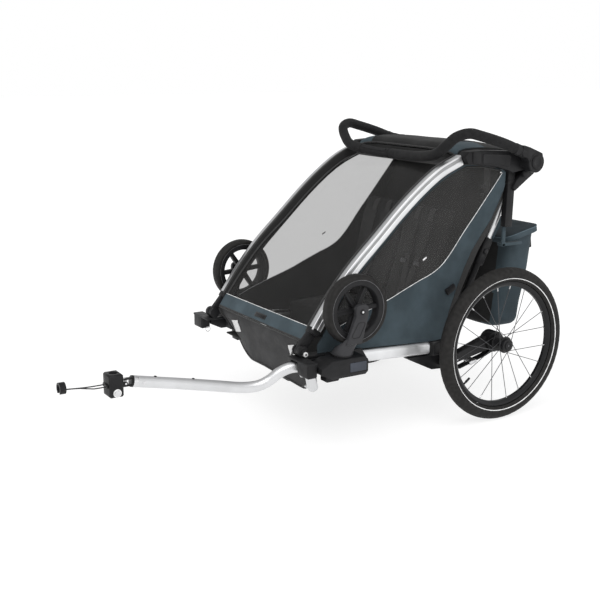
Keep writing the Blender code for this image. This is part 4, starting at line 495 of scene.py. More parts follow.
def frames(points, side, closed):
    """At each point, the directions across and over the line. A side keeps them level with it."""
    count = len(points)
    result = []
    across = None
    for i, point in enumerate(points):
        before = points[i - 1] if (i or closed) else point
        after = points[(i + 1) % count] if (i < count - 1 or closed) else point
        along = (after - before).normalized()
        if side:
            over = along.cross(Vector(side)).normalized()
            result.append((over.cross(along).normalized(), over))
            continue
        if across is None:
            across = along.orthogonal().normalized()
        across = (across - along * across.dot(along)).normalized()
        result.append((across, along.cross(across).normalized()))
    return result


def sweep(points, section, side=None, closed=False):
    """A solid along points. Its section is a list of (across, over), or a rule of the share along."""
    points = [Vector(p) for p in points]
    shape = bmesh.new()
    rings = []
    for i, (point, (across, over)) in enumerate(zip(points, frames(points, side, closed))):
        outline = section(i / (len(points) - 1)) if callable(section) else section
        rings.append([shape.verts.new(point + across * a + over * b) for a, b in outline])
    pairs = list(zip(rings, rings[1:])) + ([(rings[-1], rings[0])] if closed else [])
    for first, second in pairs:
        for j in range(len(first)):
            k = (j + 1) % len(first)
            shape.faces.new((first[j], first[k], second[k], second[j]))
    if not closed:
        shape.faces.new(rings[0][::-1])
        shape.faces.new(rings[-1])
    bmesh.ops.recalc_face_normals(shape, faces=shape.faces)
    return shape


def tube(points, radius, sides, closed=False):
    """A round tube whose radius may be a rule of the share along it."""
    if callable(radius):
        return sweep(points, lambda share: circle(radius(share), sides), closed=closed)
    return sweep(points, circle(radius, sides), closed=closed)


def turned(profile, start, end, sides, ring=False):
    """A profile of (distance along, radius) turned about the line from start to end.

    A ring has a closed profile."""
    start = Vector(start)
    along = (Vector(end) - start).normalized()
    across = along.orthogonal().normalized()
    over = along.cross(across)
    shape = bmesh.new()
    rings = []
    for i in range(sides):
        angle = 2 * pi * i / sides
        out = across * cos(angle) + over * sin(angle)
        rings.append([shape.verts.new(start + along * a + out * r) for a, r in profile])
    for i in range(sides):
        first, second = rings[i], rings[(i + 1) % sides]
        for j in range(len(profile) - (0 if ring else 1)):
            k = (j + 1) % len(profile)
            shape.faces.new((first[j], first[k], second[k], second[j]))
    bmesh.ops.remove_doubles(shape, verts=shape.verts, dist=1e-7)
    bmesh.ops.recalc_face_normals(shape, faces=shape.faces)
    return shape


def wheel_ring(wall, centre, sides):
    """A ring about a wheel's axle. Its wall is a closed profile of (x from the wheel's middle, radius)."""
    reach = 0.1
    start = centre - Vector((reach, 0, 0))
    return turned([(x + reach, r) for x, r in wall], start, centre, sides, ring=True)


def knob(start, end, radius, edge, sides, dimple=0.0):
    """A disc or rod with rounded edges and perhaps a dimple in its far face."""
    far = (Vector(end) - Vector(start)).length
    profile = [(0.0, 0.0), (0.0, radius - edge), (edge * 0.3, radius - edge * 0.3), (edge, radius),
               (far - edge, radius), (far - edge * 0.3, radius - edge * 0.3), (far, radius - edge)]
    if dimple:
        profile += [(far, radius * 0.62), (far - dimple, radius * 0.52)]
    return turned(profile + [(far - dimple, 0.0)], start, end, sides)


def softened(shape, width):
    """The shape with its edges of more than 30 degrees rounded off."""
    edges = [e for e in shape.edges if len(e.link_faces) == 2 and e.calc_face_angle(0.0) > radians(30)]
    if width and edges:
        bmesh.ops.bevel(shape, geom=edges, offset=width, segments=2, affect="EDGES", profile=0.5,
                        clamp_overlap=True)
    return shape


def plate(outline, low_x, high_x, edge=0.0, recess=None):
    """A side outline of (y, z) points, from low_x to high_x, with its edges rounded.

    A recess is the (margin, depth) of a hollow in the face at high_x."""
    shape = bmesh.new()
    face = shape.faces.new([shape.verts.new((low_x, y, z)) for y, z in outline])
    extruded = bmesh.ops.extrude_face_region(shape, geom=[face])["geom"]
    moved = [v for v in extruded if isinstance(v, bmesh.types.BMVert)]
    bmesh.ops.translate(shape, vec=(high_x - low_x, 0, 0), verts=moved)
    bmesh.ops.recalc_face_normals(shape, faces=shape.faces)
    if recess:
        outer = [f for f in shape.faces if f.normal.x * (1 if high_x > low_x else -1) > 0.99]
        bmesh.ops.inset_region(shape, faces=outer, thickness=recess[0], use_even_offset=True)
        bmesh.ops.inset_region(shape, faces=outer, thickness=0.0006, depth=-recess[1], use_even_offset=True)
    return softened(shape, edge)


def box(low, high, edge=0.0, tilt=0.0):
    """A box with rounded edges, tilted about its middle."""
    centre = (Vector(low) + Vector(high)) / 2
    shape = bmesh.new()
    bmesh.ops.create_cube(shape, size=1.0)
    bmesh.ops.scale(shape, vec=Vector(high) - Vector(low), verts=shape.verts)
    if edge:
        bmesh.ops.bevel(shape, geom=shape.edges[:], offset=edge, segments=2, affect="EDGES", profile=0.5)
    shape.transform(Matrix.Translation(centre) @ Matrix.Rotation(tilt, 4, "X"))
    return shape


def grid(rows, thickness=0.0, material=None):
    """A sheet over rows of points. Its material is a rule of (row, column); a thickness closes it."""
    shape = bmesh.new()
    points = [[shape.verts.new(p) for p in row] for row in rows]
    for r, (row, following) in enumerate(zip(points, points[1:])):
        for c in range(len(row) - 1):
            face = shape.faces.new((row[c], row[c + 1], following[c + 1], following[c]))
            face.material_index = material(r, c) if material else 0
    bmesh.ops.recalc_face_normals(shape, faces=shape.faces)
    if thickness:
        shape.normal_update()
        rim = [e for e in shape.edges if len(e.link_faces) == 1]
        copies = {v: shape.verts.new(v.co - v.normal * thickness) for v in list(shape.verts)}
        for face in list(shape.faces):
            below = shape.faces.new([copies[v] for v in reversed(face.verts)])
            below.material_index = face.material_index
        for edge in rim:
            a, b = edge.verts
            loop = edge.link_loops[0]
            if loop.vert == b:
                a, b = b, a
            wall = shape.faces.new((b, a, copies[a], copies[b]))
            wall.material_index = loop.face.material_index
        bmesh.ops.recalc_face_normals(shape, faces=shape.faces)
    return shape


def flat_cut(outlines, x, thickness=0.0):
    """A flat side piece cut to closed outlines of (y, z), of which the later ones are holes."""
    curve = bpy.data.curves.new("cut", "CURVE")
    curve.dimensions = "2D"
    curve.fill_mode = "BOTH" if thickness else "FRONT"
    curve.extrude = thickness / 2
    for outline in outlines:
        spline = curve.splines.new("POLY")
        spline.points.add(len(outline) - 1)
        for point, corner in zip(spline.points, outline):
            point.co = (*corner, 0.0, 1.0)
        spline.use_cyclic_u = True
    obj = bpy.data.objects.new("cut", curve)
    bpy.context.scene.collection.objects.link(obj)
    bpy.context.view_layer.update()
    mesh = bpy.data.meshes.new_from_object(obj.evaluated_get(bpy.context.evaluated_depsgraph_get()))
    mesh.transform(Matrix(((0, 0, 1, x), (1, 0, 0, 0), (0, 1, 0, 0), (0, 0, 0, 1))))
    bpy.data.objects.remove(obj)
    bpy.data.curves.remove(curve)
    shape = bmesh.new()
    shape.from_mesh(mesh)
    bpy.data.meshes.remove(mesh)
    bmesh.ops.remove_doubles(shape, verts=shape.verts, dist=1e-6)
    if thickness:
        bmesh.ops.recalc_face_normals(shape, faces=shape.faces)
    return shape


def loft(rings):
    """A closed skin over rings of points, with both ends capped."""
    shape = bmesh.new()
    loops = [[shape.verts.new(p) for p in ring] for ring in rings]
    for first, second in zip(loops, loops[1:]):
        for i in range(len(first)):
            k = (i + 1) % len(first)
            shape.faces.new((first[i], first[k], second[k], second[i]))
    shape.faces.new(loops[0])
    shape.faces.new(loops[-1])
    bmesh.ops.recalc_face_normals(shape, faces=shape.faces)
    return shape


def strap(points, width, thickness, side=(1, 0, 0)):
    """Flat webbing along points, its width across them."""
    half, rim = width / 2, thickness / 2
    bulge = half + rim * 0.6
    section = [(-half, -rim), (half, -rim), (bulge, 0.0), (half, rim), (-half, rim), (-bulge, 0.0)]
    return sweep(points, section, side)


def creased(shape, height, size, seed, keep=None):
    """Push points along their normals by soft waves, whose share a rule of the point may keep."""
    shape.normal_update()
    moves = []
    for vert in shape.verts:
        wave = noise.noise((vert.co + Vector((seed, seed * 0.7, seed * 1.3))) / size)
        share = keep(vert.co) if keep else 1.0
        moves.append((vert, vert.normal * wave * height * share))
    for vert, move in moves:
        vert.co += move
    return shape


def stand_in(shape):
    """An object for a modifier to work on."""
    mesh = bpy.data.meshes.new("stand in")
    shape.to_mesh(mesh)
    shape.free()
    obj = bpy.data.objects.new("stand in", mesh)
    bpy.context.scene.collection.objects.link(obj)
    return obj


def taken(obj):
    """The shape that a stand-in's modifiers made. The stand-in is removed."""
    bpy.context.view_layer.update()
    mesh = bpy.data.meshes.new_from_object(obj.evaluated_get(bpy.context.evaluated_depsgraph_get()))
    old = obj.data
    bpy.data.objects.remove(obj)
    bpy.data.meshes.remove(old)
    shape = bmesh.new()
    shape.from_mesh(mesh)
    bpy.data.meshes.remove(mesh)
    return shape


def cushion(low, high, cuts, crown):
    """A stuffed pad that fills a box: a cage whose points a rule moves, then smoothed.

    The cage's inner cuts are drawn towards its faces first, which keeps the pad's rim tight."""
    shape = bmesh.new()
    bmesh.ops.create_cube(shape, size=1.0)
    for axis, count in enumerate(cuts):
        edges = [e for e in shape.edges if abs(e.verts[0].co[axis] - e.verts[1].co[axis]) > 0.5]
        if count:
            bmesh.ops.subdivide_edges(shape, edges=edges, cuts=count, use_grid_fill=True)
    for vert in shape.verts:
        vert.co = crown(Vector([c * (2.2 - 2.4 * abs(c)) for c in vert.co]))
    obj = stand_in(shape)
    surface = obj.modifiers.new("Smooth", "SUBSURF")
    surface.levels = surface.render_levels = 2
    shape = taken(obj)
    least = [min(v.co[i] for v in shape.verts) for i in range(3)]
    most = [max(v.co[i] for v in shape.verts) for i in range(3)]
    for vert in shape.verts:
        vert.co = [low[i] + (high[i] - low[i]) * (vert.co[i] - least[i]) / (most[i] - least[i])
                   for i in range(3)]
    return shape


# Placing

def piece(name, parts, body, replaces=(), sign=1, smooth=38):
    """One object from (shape, finish) parts, in the trailer's place, riding on a body.

    A part's finish may be a list of finishes, which its faces' own numbers choose from."""
    mesh = bpy.data.meshes.new(name)
    whole = bmesh.new()
    for shape, chosen in parts:
        chosen = chosen if isinstance(chosen, list) else [chosen]
        first = len(mesh.materials)
        for key in chosen:
            mesh.materials.append(finishes[key])
        for face in shape.faces:
            face.material_index = first + min(face.material_index, len(chosen) - 1)
        scrap = bpy.data.meshes.new("scrap")
        shape.to_mesh(scrap)
        shape.free()
        whole.from_mesh(scrap)
        bpy.data.meshes.remove(scrap)
    whole.transform(Matrix.Translation((0, AXLE_Y, 0)) @ Matrix.Diagonal((sign, 1, 1, 1)))
    if sign < 0:
        bmesh.ops.reverse_faces(whole, faces=whole.faces)
    whole.to_mesh(mesh)
    whole.free()
    mesh.shade_smooth()
    mesh.set_sharp_from_angle(angle=radians(smooth))
    obj = bpy.data.objects.new(name, mesh)
    bpy.context.scene.collection.objects.link(obj)
    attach(obj, body)
    if replaces:
        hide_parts(*replaces)
    return obj


def finished_node(node, finish, edge):
    """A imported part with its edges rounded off, finished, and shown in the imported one's place."""
    source = frame["nodes"][node]
    shape = bmesh.new()
    shape.from_mesh(source.data)
    bmesh.ops.remove_doubles(shape, verts=shape.verts, dist=2e-6)
    shape.transform(Matrix.Translation((0, -AXLE_Y, 0)))
    bmesh.ops.dissolve_limit(shape, angle_limit=radians(0.5), verts=shape.verts, edges=shape.edges)
    for face in shape.faces:
        face.material_index = 0
    if edge:
        obj = stand_in(shape)
        rounding = obj.modifiers.new("Rounding", "BEVEL")
        rounding.width = edge
        rounding.segments = 2
        rounding.limit_method = "ANGLE"
        rounding.angle_limit = radians(40)
        rounding.use_clamp_overlap = True
        shape = taken(obj)
    return piece(node + "_finished", [(shape, finish)], source["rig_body"], (node,))


# Rear wheels

STRIPE_ANGLE = 113.8


def tread_depth_at(angle, step):
    """How deep the tread is cut at an angle from the crown, in degrees, and a step round the tyre."""
    depth = 0.0
    if 8 < abs(angle) < 14:
        depth += sizes().tread_depth * 0.55
    phase = (step + (2 if angle < 0 else 0) + (1 if abs(angle) > 40 else 0)) % 4
    if 22 < abs(angle) < 62 and phase == 0:
        depth += sizes().tread_depth
    return depth


def tyre_shape():
    """Round tyre with a grooved crown, cut shoulders and a reflecting stripe on each wall."""
    radius, middle = 0.0235, 0.2265
    stripe = degrees(sizes().stripe / radius) / 2
    half = [4, 9, 13, 17, 24, 31, 38, 46, 54, 61, 70, 82, 96, 106,
            STRIPE_ANGLE - stripe, STRIPE_ANGLE + stripe, 124, 138, 147]
    angles = [-a for a in half[::-1]] + half
    steps = sizes().tread_blocks * 4
    shape = bmesh.new()
    rings = []
    for i in range(steps):
        turn = 2 * pi * i / steps
        ring = []
        for a in angles:
            r = radius - tread_depth_at(a, i)
            y, z = polar(middle + r * cos(radians(a)), turn)
            ring.append(shape.verts.new(WHEEL_CENTRE + Vector((r * sin(radians(a)), y, z))))
        rings.append(ring)
    for first, second in zip(rings, rings[1:] + rings[:1]):
        for j in range(len(angles) - 1):
            face = shape.faces.new((first[j], first[j + 1], second[j + 1], second[j]))
            if abs(abs(angles[j] + angles[j + 1]) / 2 - STRIPE_ANGLE) < stripe:
                face.material_index = 1
    bmesh.ops.recalc_face_normals(shape, faces=shape.faces)
    return shape


def spoke_parts(index, count):
    """One crossed spoke, from the hub's flange to the rim, with its nipple."""
    flange_x = (0.349, 0.383)[index % 2]
    lean = radians(62) * (1, 1, -1, -1)[index % 4]
    angle = 2 * pi * (index + 0.5) / count
    hub_y, hub_z = polar(0.0245, angle + lean)
    rim_y, rim_z = polar(0.1915, angle)
    offset = flange_x - WHEEL_CENTRE.x
    beside = 0.0015 if lean > 0 else -0.0015
    near = WHEEL_CENTRE + Vector((offset + beside, hub_y, hub_z))
    far = WHEEL_CENTRE + Vector((offset * 0.15, rim_y, rim_z))
    run = (far - near).normalized()
    spoke = tube([near - run * 0.002, far], 0.0011, 8)
    nipple = tube([far - run * 0.013, far - run * 0.010, far], lambda s: 0.0013 + 0.0007 * (s > 0.3), 8)
    return [(spoke, "spoke"), (nipple, "steel")]


def wheel_parts():
    """Rim with its valve, crossed spokes with nipples, and the hub with its cap."""
    centre = WHEEL_CENTRE
    rim_wall = [(-0.0125, 0.2045), (-0.0112, 0.2062), (-0.0095, 0.2030), (0.0095, 0.2030),
                (0.0112, 0.2062), (0.0125, 0.2045), (0.0125, 0.1995), (0.0104, 0.1962),
                (0.0050, 0.1903), (-0.0050, 0.1903), (-0.0104, 0.1962), (-0.0125, 0.1995)]
    rim = wheel_ring(rim_wall, centre, 96)
    hub_wall = [(0.3445, 0.0080), (0.3445, 0.0138), (0.3462, 0.0152), (0.3474, 0.0262),
                (0.3482, 0.0270), (0.3500, 0.0270), (0.3508, 0.0262), (0.3525, 0.0165),
                (0.3600, 0.0142), (0.3720, 0.0142), (0.3795, 0.0165), (0.3812, 0.0262),
                (0.3820, 0.0270), (0.3838, 0.0270), (0.3846, 0.0262), (0.3858, 0.0178),
                (0.3874, 0.0196), (0.3888, 0.0215), (0.3950, 0.0215), (0.3964, 0.0208),
                (0.3970, 0.0192), (0.3970, 0.0141), (0.3904, 0.0139), (0.3902, 0.0080)]
    hub = turned([(x - 0.266, r) for x, r in hub_wall], (0.266, 0, centre.z), (0.5, 0, centre.z), 40,
                 ring=True)
    parts = [(rim, "black metal"), (hub, "fine plastic")]
    for i in range(sizes().spokes):
        parts += spoke_parts(i, sizes().spokes)
    y, z = polar(0.1915, radians(216))
    valve_foot = centre + Vector((0, y, z))
    inward = (centre - valve_foot).normalized()
    valve = turned([(-0.001, 0), (-0.001, 0.0050), (0.001, 0.0050), (0.001, 0.0030), (0.012, 0.0030),
                    (0.012, 0.0040), (0.030, 0.0036), (0.031, 0.0026), (0.031, 0.0)],
                   valve_foot, valve_foot + inward, 12)
    parts.append((valve, "fine plastic"))
    return parts


def release_cap_parts():
    """Button at the hub's outer end, with a dark dot in its dimple."""
    face_x, dot_x, z = 0.3952, 0.3984, WHEEL_CENTRE.z
    face = knob((face_x, 0, z), (0.400, 0, z), 0.0134, 0.0012, 32, 0.0012)
    dot = knob((dot_x, 0, z), (0.3994, 0, z), 0.0034, 0.0004, 16)
    return [(face, "plastic"), (dot, "spoke")]


def make_rear_wheels():
    for side, sign in SIDES:
        body = side + "_rear_wheel"
        button = side + "_wheel_button"
        piece(side + "_tread_tyre", [(tyre_shape(), ["tyre", "piping"])], body, (side + "_tyre",),
              sign, 25)
        piece(side + "_spoked_wheel", wheel_parts(), body, (side + "_wheel",), sign)
        piece(side + "_release_cap", release_cap_parts(), button, (button,), sign)


# Suspension and floor frame

def make_running_gear():
    edge = sizes().edge
    for side, sign in SIDES:
        finished_node(side + "_swing_arm", "black metal", edge)
        finished_node(side + "_spring_adjuster", "steel", edge * 0.5)
        finished_node(side + "_side_rail", "aluminium", None)
        end_cap = box((0.2605, -0.2400, 0.2310), (0.2995, -0.2294, 0.2735), 0.0015, -0.05)
        piece(side + "_rail_trim", [(end_cap, "plastic")], "chassis", sign=sign)
    finished_node("front_crossbar", "black metal", edge)
    finished_node("rear_crossmember", "black metal", edge)
    finished_node("brake_pedal", "plastic", edge)
    floor = finished_node("floor_pan", "lining", 0.0008)


# Front frame: tubes, top pieces, roof and cover

TUBE_HALF_X, TUBE_HALF_OVER = 0.016, 0.018


def shoe_section(widen_x, widen_over):
    """The tube's outline, made wider, for the moulded shoe at its foot."""
    x, over, corner = TUBE_HALF_X, TUBE_HALF_OVER, 0.011
    outline = rounded([(-x, -over, corner), (x, -over, corner), (x, over, corner), (-x, over, corner)], 5)
    return [(a * widen_x, b * widen_over) for a, b in outline]


def tube_section():
    """Rounded tube with a slot along its outer face, where the cover's edge would run."""
    x, over, corner, slot_corner = TUBE_HALF_X, TUBE_HALF_OVER, 0.0105, 0.0008
    slot_x = x - 0.0016
    return rounded([(-x, -over, corner), (x, -over, corner), (x, -0.0112, slot_corner),
                    (slot_x, -0.0102, slot_corner), (slot_x, -0.0012, slot_corner),
                    (x, -0.0002, slot_corner), (x, over, corner), (-x, over, corner)], 4)


def front_rail_parts():
    """Slotted tube with the channel in its slot darkened as painted shade, and the shoe and lug that it turns
    on.
    """
    across = (1, 0, 0)
    line = side_line(TUBE_LINE, TUBE_X, 6)
    start = Vector((TUBE_X, *TUBE_LINE[0]))
    along = (Vector((TUBE_X, *TUBE_LINE[1])) - start).normalized()
    over = Vector((0, -along.z, along.y))
    pivot = Vector((TUBE_X, FRAME_PIVOT.y, FRAME_PIVOT.z))
    tube_shape = sweep(line, tube_section(), across)
    # The channel inside the slot, in darker aluminium: painted shade in the groove.
    channel_edge = [(0.0138, -0.0100), (0.0151, -0.0100), (0.0151, -0.0014), (0.0138, -0.0014)]
    channel = sweep(line, channel_edge, across)
    shoe = sweep([start + along * reach for reach in (-0.012, -0.010, 0.004, 0.006)],
                 lambda s: shoe_section(1.07, 1.12) if 0.1 < s < 0.9 else shoe_section(1.0, 1.04), across)
    base = start + along * 0.015
    neck_half, lug_half = 0.0147, 0.008
    corners = [pivot + over * neck_half, pivot - over * neck_half, base - over * neck_half,
               base + over * neck_half]
    neck = plate([(p.y, p.z) for p in corners], TUBE_X - lug_half, TUBE_X + lug_half, 0.001)
    lug = knob(pivot - Vector((lug_half, 0, 0)), pivot + Vector((lug_half, 0, 0)), 0.0150, 0.0012, 28)
    return [(tube_shape, "aluminium"), (channel, "satin alloy"), (shoe, "plastic"), (neck, "plastic"),
            (lug, "plastic")]


def below_tube(i):
    """A point of the tube's lower edge, below point i of its middle line."""
    gap = 0.0190
    here = Vector(TUBE_LINE[i])
    before = Vector(TUBE_LINE[max(0, i - 1)])
    after = Vector(TUBE_LINE[min(len(TUBE_LINE) - 1, i + 1)])
    run = (after - before).normalized()
    return here.x + run.y * gap, here.y - run.x * gap


def rail_binding_parts():
    """Black cloth round the tube's inner side, and the cord along its lower edge."""
    wrap = [(-0.0178, 0.0140), (-0.0178, -0.0140), (-0.0150, -0.0190), (-0.0050, -0.0194),
            (-0.0046, -0.0184), (-0.0146, -0.0179), (-0.0164, -0.0135), (-0.0164, 0.0140)]
    cloth = sweep(side_line(TUBE_LINE, TUBE_X, 6), wrap, (1, 0, 0))
    lower = side_line([below_tube(i) for i in range(len(TUBE_LINE))], SIDE_X - 0.002, 3)
    return [(cloth, "webbing"), (tube(lower, 0.0030, 8), "webbing")]


def make_front_tubes():
    """The two tubes of the front frame, each with its channel, shoe and binding."""
    for side, sign in SIDES:
        piece(side + "_front_rail", front_rail_parts(), "front_frame", (side + "_front_tube",),
              sign)
        piece(side + "_rail_binding", rail_binding_parts(), "front_frame", sign=sign)


def top_piece_parts():
    """Beam with a front block, the brace under the hub's seat, and the strut with its tab for the bag."""
    low, high = 0.266, 0.312
    front_edge = [(-0.121, 0.8285, 0.002), (-0.055, 0.8225, 0.010), (0.000, 0.8135, 0.012),
                  (0.045, 0.8015, 0.010)]
    upper_edge = [(0.170, 0.815, 0.015), (0.158, 0.848, 0.020), (0.060, 0.8605, 0.020),
                  (-0.070, 0.8685, 0.012), (-0.118, 0.866, 0.008), (-0.134, 0.850, 0.003)]
    web_edge = [(0.066, 0.790, 0.004), (0.068, 0.735, 0.004), (0.092, 0.729, 0.006), (0.133, 0.759, 0.012),
                (0.174, 0.785, 0.012)]
    beam_edge = [(0.066, 0.792, 0.004), (0.104, 0.797, 0.010), (0.127, 0.7955, 0.006), (0.160, 0.792, 0.010)]
    brace_edge = [(0.0885, 0.730, 0.004), (0.133, 0.760, 0.012), (0.173, 0.786, 0.010), (0.160, 0.803, 0.008),
                  (0.1262, 0.795, 0.008), (0.0935, 0.766, 0.008), (0.080, 0.742, 0.004)]
    block_edge = [(-0.104, 0.829, 0.007), (-0.0715, 0.8275, 0.007), (-0.0735, 0.8655, 0.007),
                  (-0.1055, 0.867, 0.007)]
    inset_edge = [(-0.062, 0.8255, 0.006), (0.000, 0.8175, 0.010), (0.052, 0.806, 0.010),
                  (0.056, 0.850, 0.010), (-0.064, 0.858, 0.008)]
    strut_edge = [(0.066, 0.802, 0), (0.094, 0.802, 0), (0.0945, 0.735, 0.02), (0.0905, 0.614, 0.004),
                  (0.0600, 0.614, 0.004), (0.0655, 0.735, 0.02)]
    collar_edge = [(0.0640, 0.765, 0.003), (0.0962, 0.765, 0.003), (0.0958, 0.752, 0.003),
                   (0.0640, 0.752, 0.003)]
    hanger_edge = [(0.066, 0.616), (0.080, 0.616), (0.080, 0.5475), (0.066, 0.5475)]
    boss_y, boss_z = 0.128, 0.770
    lever_y, lever_z = 0.118, 0.786
    web = plate(rounded(front_edge + web_edge + upper_edge), low, low + 0.010, 0.002)
    beam = plate(rounded(front_edge + beam_edge + upper_edge), low + 0.001, high, 0.0042)
    brace = plate(rounded(brace_edge), low + 0.003, high - 0.010, 0.0035)
    block = plate(rounded(block_edge), high - 0.001, high + 0.0034, 0.0020)
    inset = plate(rounded(inset_edge), high - 0.001, high + 0.0016, 0.0012, (0.0035, 0.0006))
    boss = knob((0.2581, boss_y, boss_z), (0.268, boss_y, boss_z), 0.010, 0.001, 20)
    pin = knob((0.2305, boss_y, boss_z), (0.267, boss_y, boss_z), 0.005, 0.0006, 16)
    strut = plate(rounded(strut_edge, 3), low + 0.004, low + 0.026, 0.0035)
    collar = plate(rounded(collar_edge, 2), low + 0.002, low + 0.028, 0.002)
    hanger = plate(hanger_edge, low + 0.004, low + 0.011, 0.0015)
    tab = box((0.2513, 0.0666, 0.5481), (low + 0.011, 0.153, 0.5575), 0.0015)
    seat = knob((high - 0.010, HUB.y, HUB.z), (0.3182, HUB.y, HUB.z), 0.031, 0.002, 40)
    axle = knob((high - 0.010, HUB.y, HUB.z), (0.342, HUB.y, HUB.z), 0.0118, 0.0005, 24)
    lever = knob((high - 0.004, lever_y, lever_z), (high + 0.006, lever_y, lever_z), 0.012, 0.002, 20)
    return [(web, "plastic"), (beam, "plastic"), (brace, "plastic"), (block, "plastic"),
            (inset, "fine plastic"), (boss, "plastic"), (pin, "steel"), (strut, "plastic"),
            (collar, "plastic"), (hanger, "slate"), (tab, "slate"), (seat, "plastic"),
            (axle, "black metal"), (lever, "plastic")]


def make_top_pieces():
    for side, sign in SIDES:
        piece(side + "_top_moulding", top_piece_parts(), "front_frame", (side + "_top_piece",),
              sign)
    finished_node("top_bar", "black metal", 0.001)


ROOF_SEAM_X = 0.186


def roof_drop(x):
    """How far the roof cloth curves down at x."""
    return 0.0180 * (abs(x) / ROOF_HALF) ** 6


def make_roof():
    """Roof cloth with slate corners in front, its lip, valance, seams and side hems."""
    line = side_line(ROOF_LINE, 0, 6)
    steps = 36
    columns = [ROOF_HALF * (2 * c / steps - 1) for c in range(steps + 1)]
    rows = [[Vector((x, p.y, p.z + 0.0015 - roof_drop(x))) for x in columns] for p in line]

    def slate_corner(r, c):
        x = ROOF_HALF * (2 * (c + 0.5) / steps - 1)
        return int(abs(x) > ROOF_SEAM_X and rows[r][0].y < -0.012 and r > 1)
    cloth = creased(grid(rows, 0.003, slate_corner), 0.0014, 0.10, 3.0)
    lip = tube([p + Vector((0, -0.001, 0.0005)) for p in rows[1]], 0.0030, 10)
    front = [p + Vector((0, 0.0012, -0.0030)) for p in rows[0]]
    valance = grid([[p + Vector((0, -0.0050 * (1 - abs(p.x) / ROOF_HALF) - 0.0015 * r, -0.0056 * r))
                     for p in front] for r in range(5)], 0.001)
    parts = [(cloth, ["roof", "slate"]), (lip, "webbing"), (valance, "roof")]
    for x in (-ROOF_SEAM_X, ROOF_SEAM_X):
        seam = [Vector((x, p.y, p.z + 0.0021 - roof_drop(x))) for p in line[2:26]]
        parts.append((tube(seam, 0.0009, 6), "webbing"))
    for x in (-0.2652, 0.2652):
        hem = [[Vector((x, p.y, p.z - 0.0150 - 0.0065 * r)) for p in line[4:]] for r in range(3)]
        parts.append((grid(hem, 0.0008), "webbing"))
    roof = piece("roof_cloth", parts, "front_frame", ("roof",))
    run_of(line) + 0.010


def make_rear_mesh():
    """Panel that hangs from the roof's rear edge down to the rear wall."""
    half = 0.2600
    fall = side_line([(0.0540, 0.7760), (0.0620, 0.7960), (0.0780, 0.8260), (0.1000, 0.8655)], 0, 5)
    panel = grid([[Vector((half * (2 * c / 20 - 1), p.y, p.z)) for c in range(21)] for p in fall], 0.0012)
    mesh_panel = piece("rear_mesh_panel", [(panel, "roof")], "front_frame")
    run_of(fall)


def make_front_cover():
    """Black-bound window film over the front, with the slate band and a pull tab below it."""
    webbing, slate, film = 0, 1, 2
    binding = sizes().binding
    line = side_line(COVER_LINE, 0, 8)
    inner = COVER_HALF - binding
    left = [inner, COVER_HALF - binding * 0.5, COVER_HALF]
    columns = [-x for x in left[::-1]] + [inner * (2 * i / 16 - 1) for i in range(1, 16)] + left
    band_top = min(range(len(line)), key=lambda i: abs(line[i].z - 0.374))
    roof_edge = max(i for i, p in enumerate(line) if p.z < 0.818)

    def finish_of(r, c):
        if r < band_top:
            return slate
        return film if 2 <= c < len(columns) - 3 and r < roof_edge else webbing

    def slack(x):
        return 0.004 * min(1.0, (COVER_HALF - abs(x)) / 0.20)
    rows = []
    for i, p in enumerate(line):
        run = (line[min(len(line) - 1, i + 1)] - line[max(0, i - 1)]).normalized()
        out = Vector((0, -run.z, run.y))
        swell = min(1.0, max(0.0, (i - band_top) / 10)) * min(1.0, max(0.0, (roof_edge - i) / 8))
        rows.append([Vector((x, p.y, p.z)) + out * (0.0016 + slack(x) * swell) for x in columns])
    sheet = creased(grid(rows, material=finish_of), 0.0010, 0.12, 8.0)
    cover = piece("front_cover_sheet", [(sheet, ["webbing", "slate", "front film"])], "front_frame",
                  ("front_cover",))
    run_of(line)
    top, foot = line[band_top], line[0]
    stations = [x * COVER_HALF / 12 for x in range(-12, 13)]
    seam = tube([Vector((x, top.y - 0.0012, top.z + 0.0012)) for x in stations], sizes().piping, 8)
    low_edge = tube([Vector((x, foot.y - 0.0010, foot.z)) for x in stations], 0.0022, 8)
    tab = box((-0.033, -0.6868, 0.3475), (0.033, -0.6830, 0.3625), 0.0012, radians(-37))
    hollow = box((-0.028, -0.6885, 0.3500), (0.028, -0.6855, 0.3598), 0.0010, radians(-37))
    piece("cover_trim", [(seam, "piping"), (low_edge, "webbing"), (tab, "webbing"), (hollow, "fine plastic")],
          "front_frame")


# Sides, rear and seats of the cabin

def side_outline():
    """The side cloth's outline: under the tube and the beam, then down the rear and along the rail."""
    gap = 0.0198
    line = side_line(TUBE_LINE, 0, 2)
    under_tube = []
    for before, after in zip(line, line[1:]):
        run = (after - before).normalized()
        under_tube.append(((before.y + after.y) / 2 + run.z * gap, (before.z + after.z) / 2 - run.y * gap))
    under_tube = [(y, z) for y, z in under_tube if y > -0.600]
    under_beam = [(-0.115, 0.8232), (-0.055, 0.8209), (0.000, 0.8119), (0.045, 0.7997), (0.0575, 0.7927)]
    along_rail = [(-0.2303, 0.2727), (-0.6190, 0.2964), (-0.6556, 0.2964)]
    front = [(-0.6556, 0.322), (-0.6380, 0.344)]
    return under_tube, under_beam + SIDE_REAR + along_rail + front


def window_outline(under_tube):
    """The window's upper edge inside the side cloth, and the seam below and behind it."""
    seam = [(p.y, p.z) for p in side_line(SIDE_SEAM, 0, 4)]
    inset = [(y + 0.0035, z - 0.0055) for y, z in under_tube if y < -0.135]
    under_beam = [(-0.110, 0.8175), (-0.055, 0.8160), (0.000, 0.8072), (0.036, 0.7975)]
    return [(-0.606, 0.392)] + inset + under_beam, seam


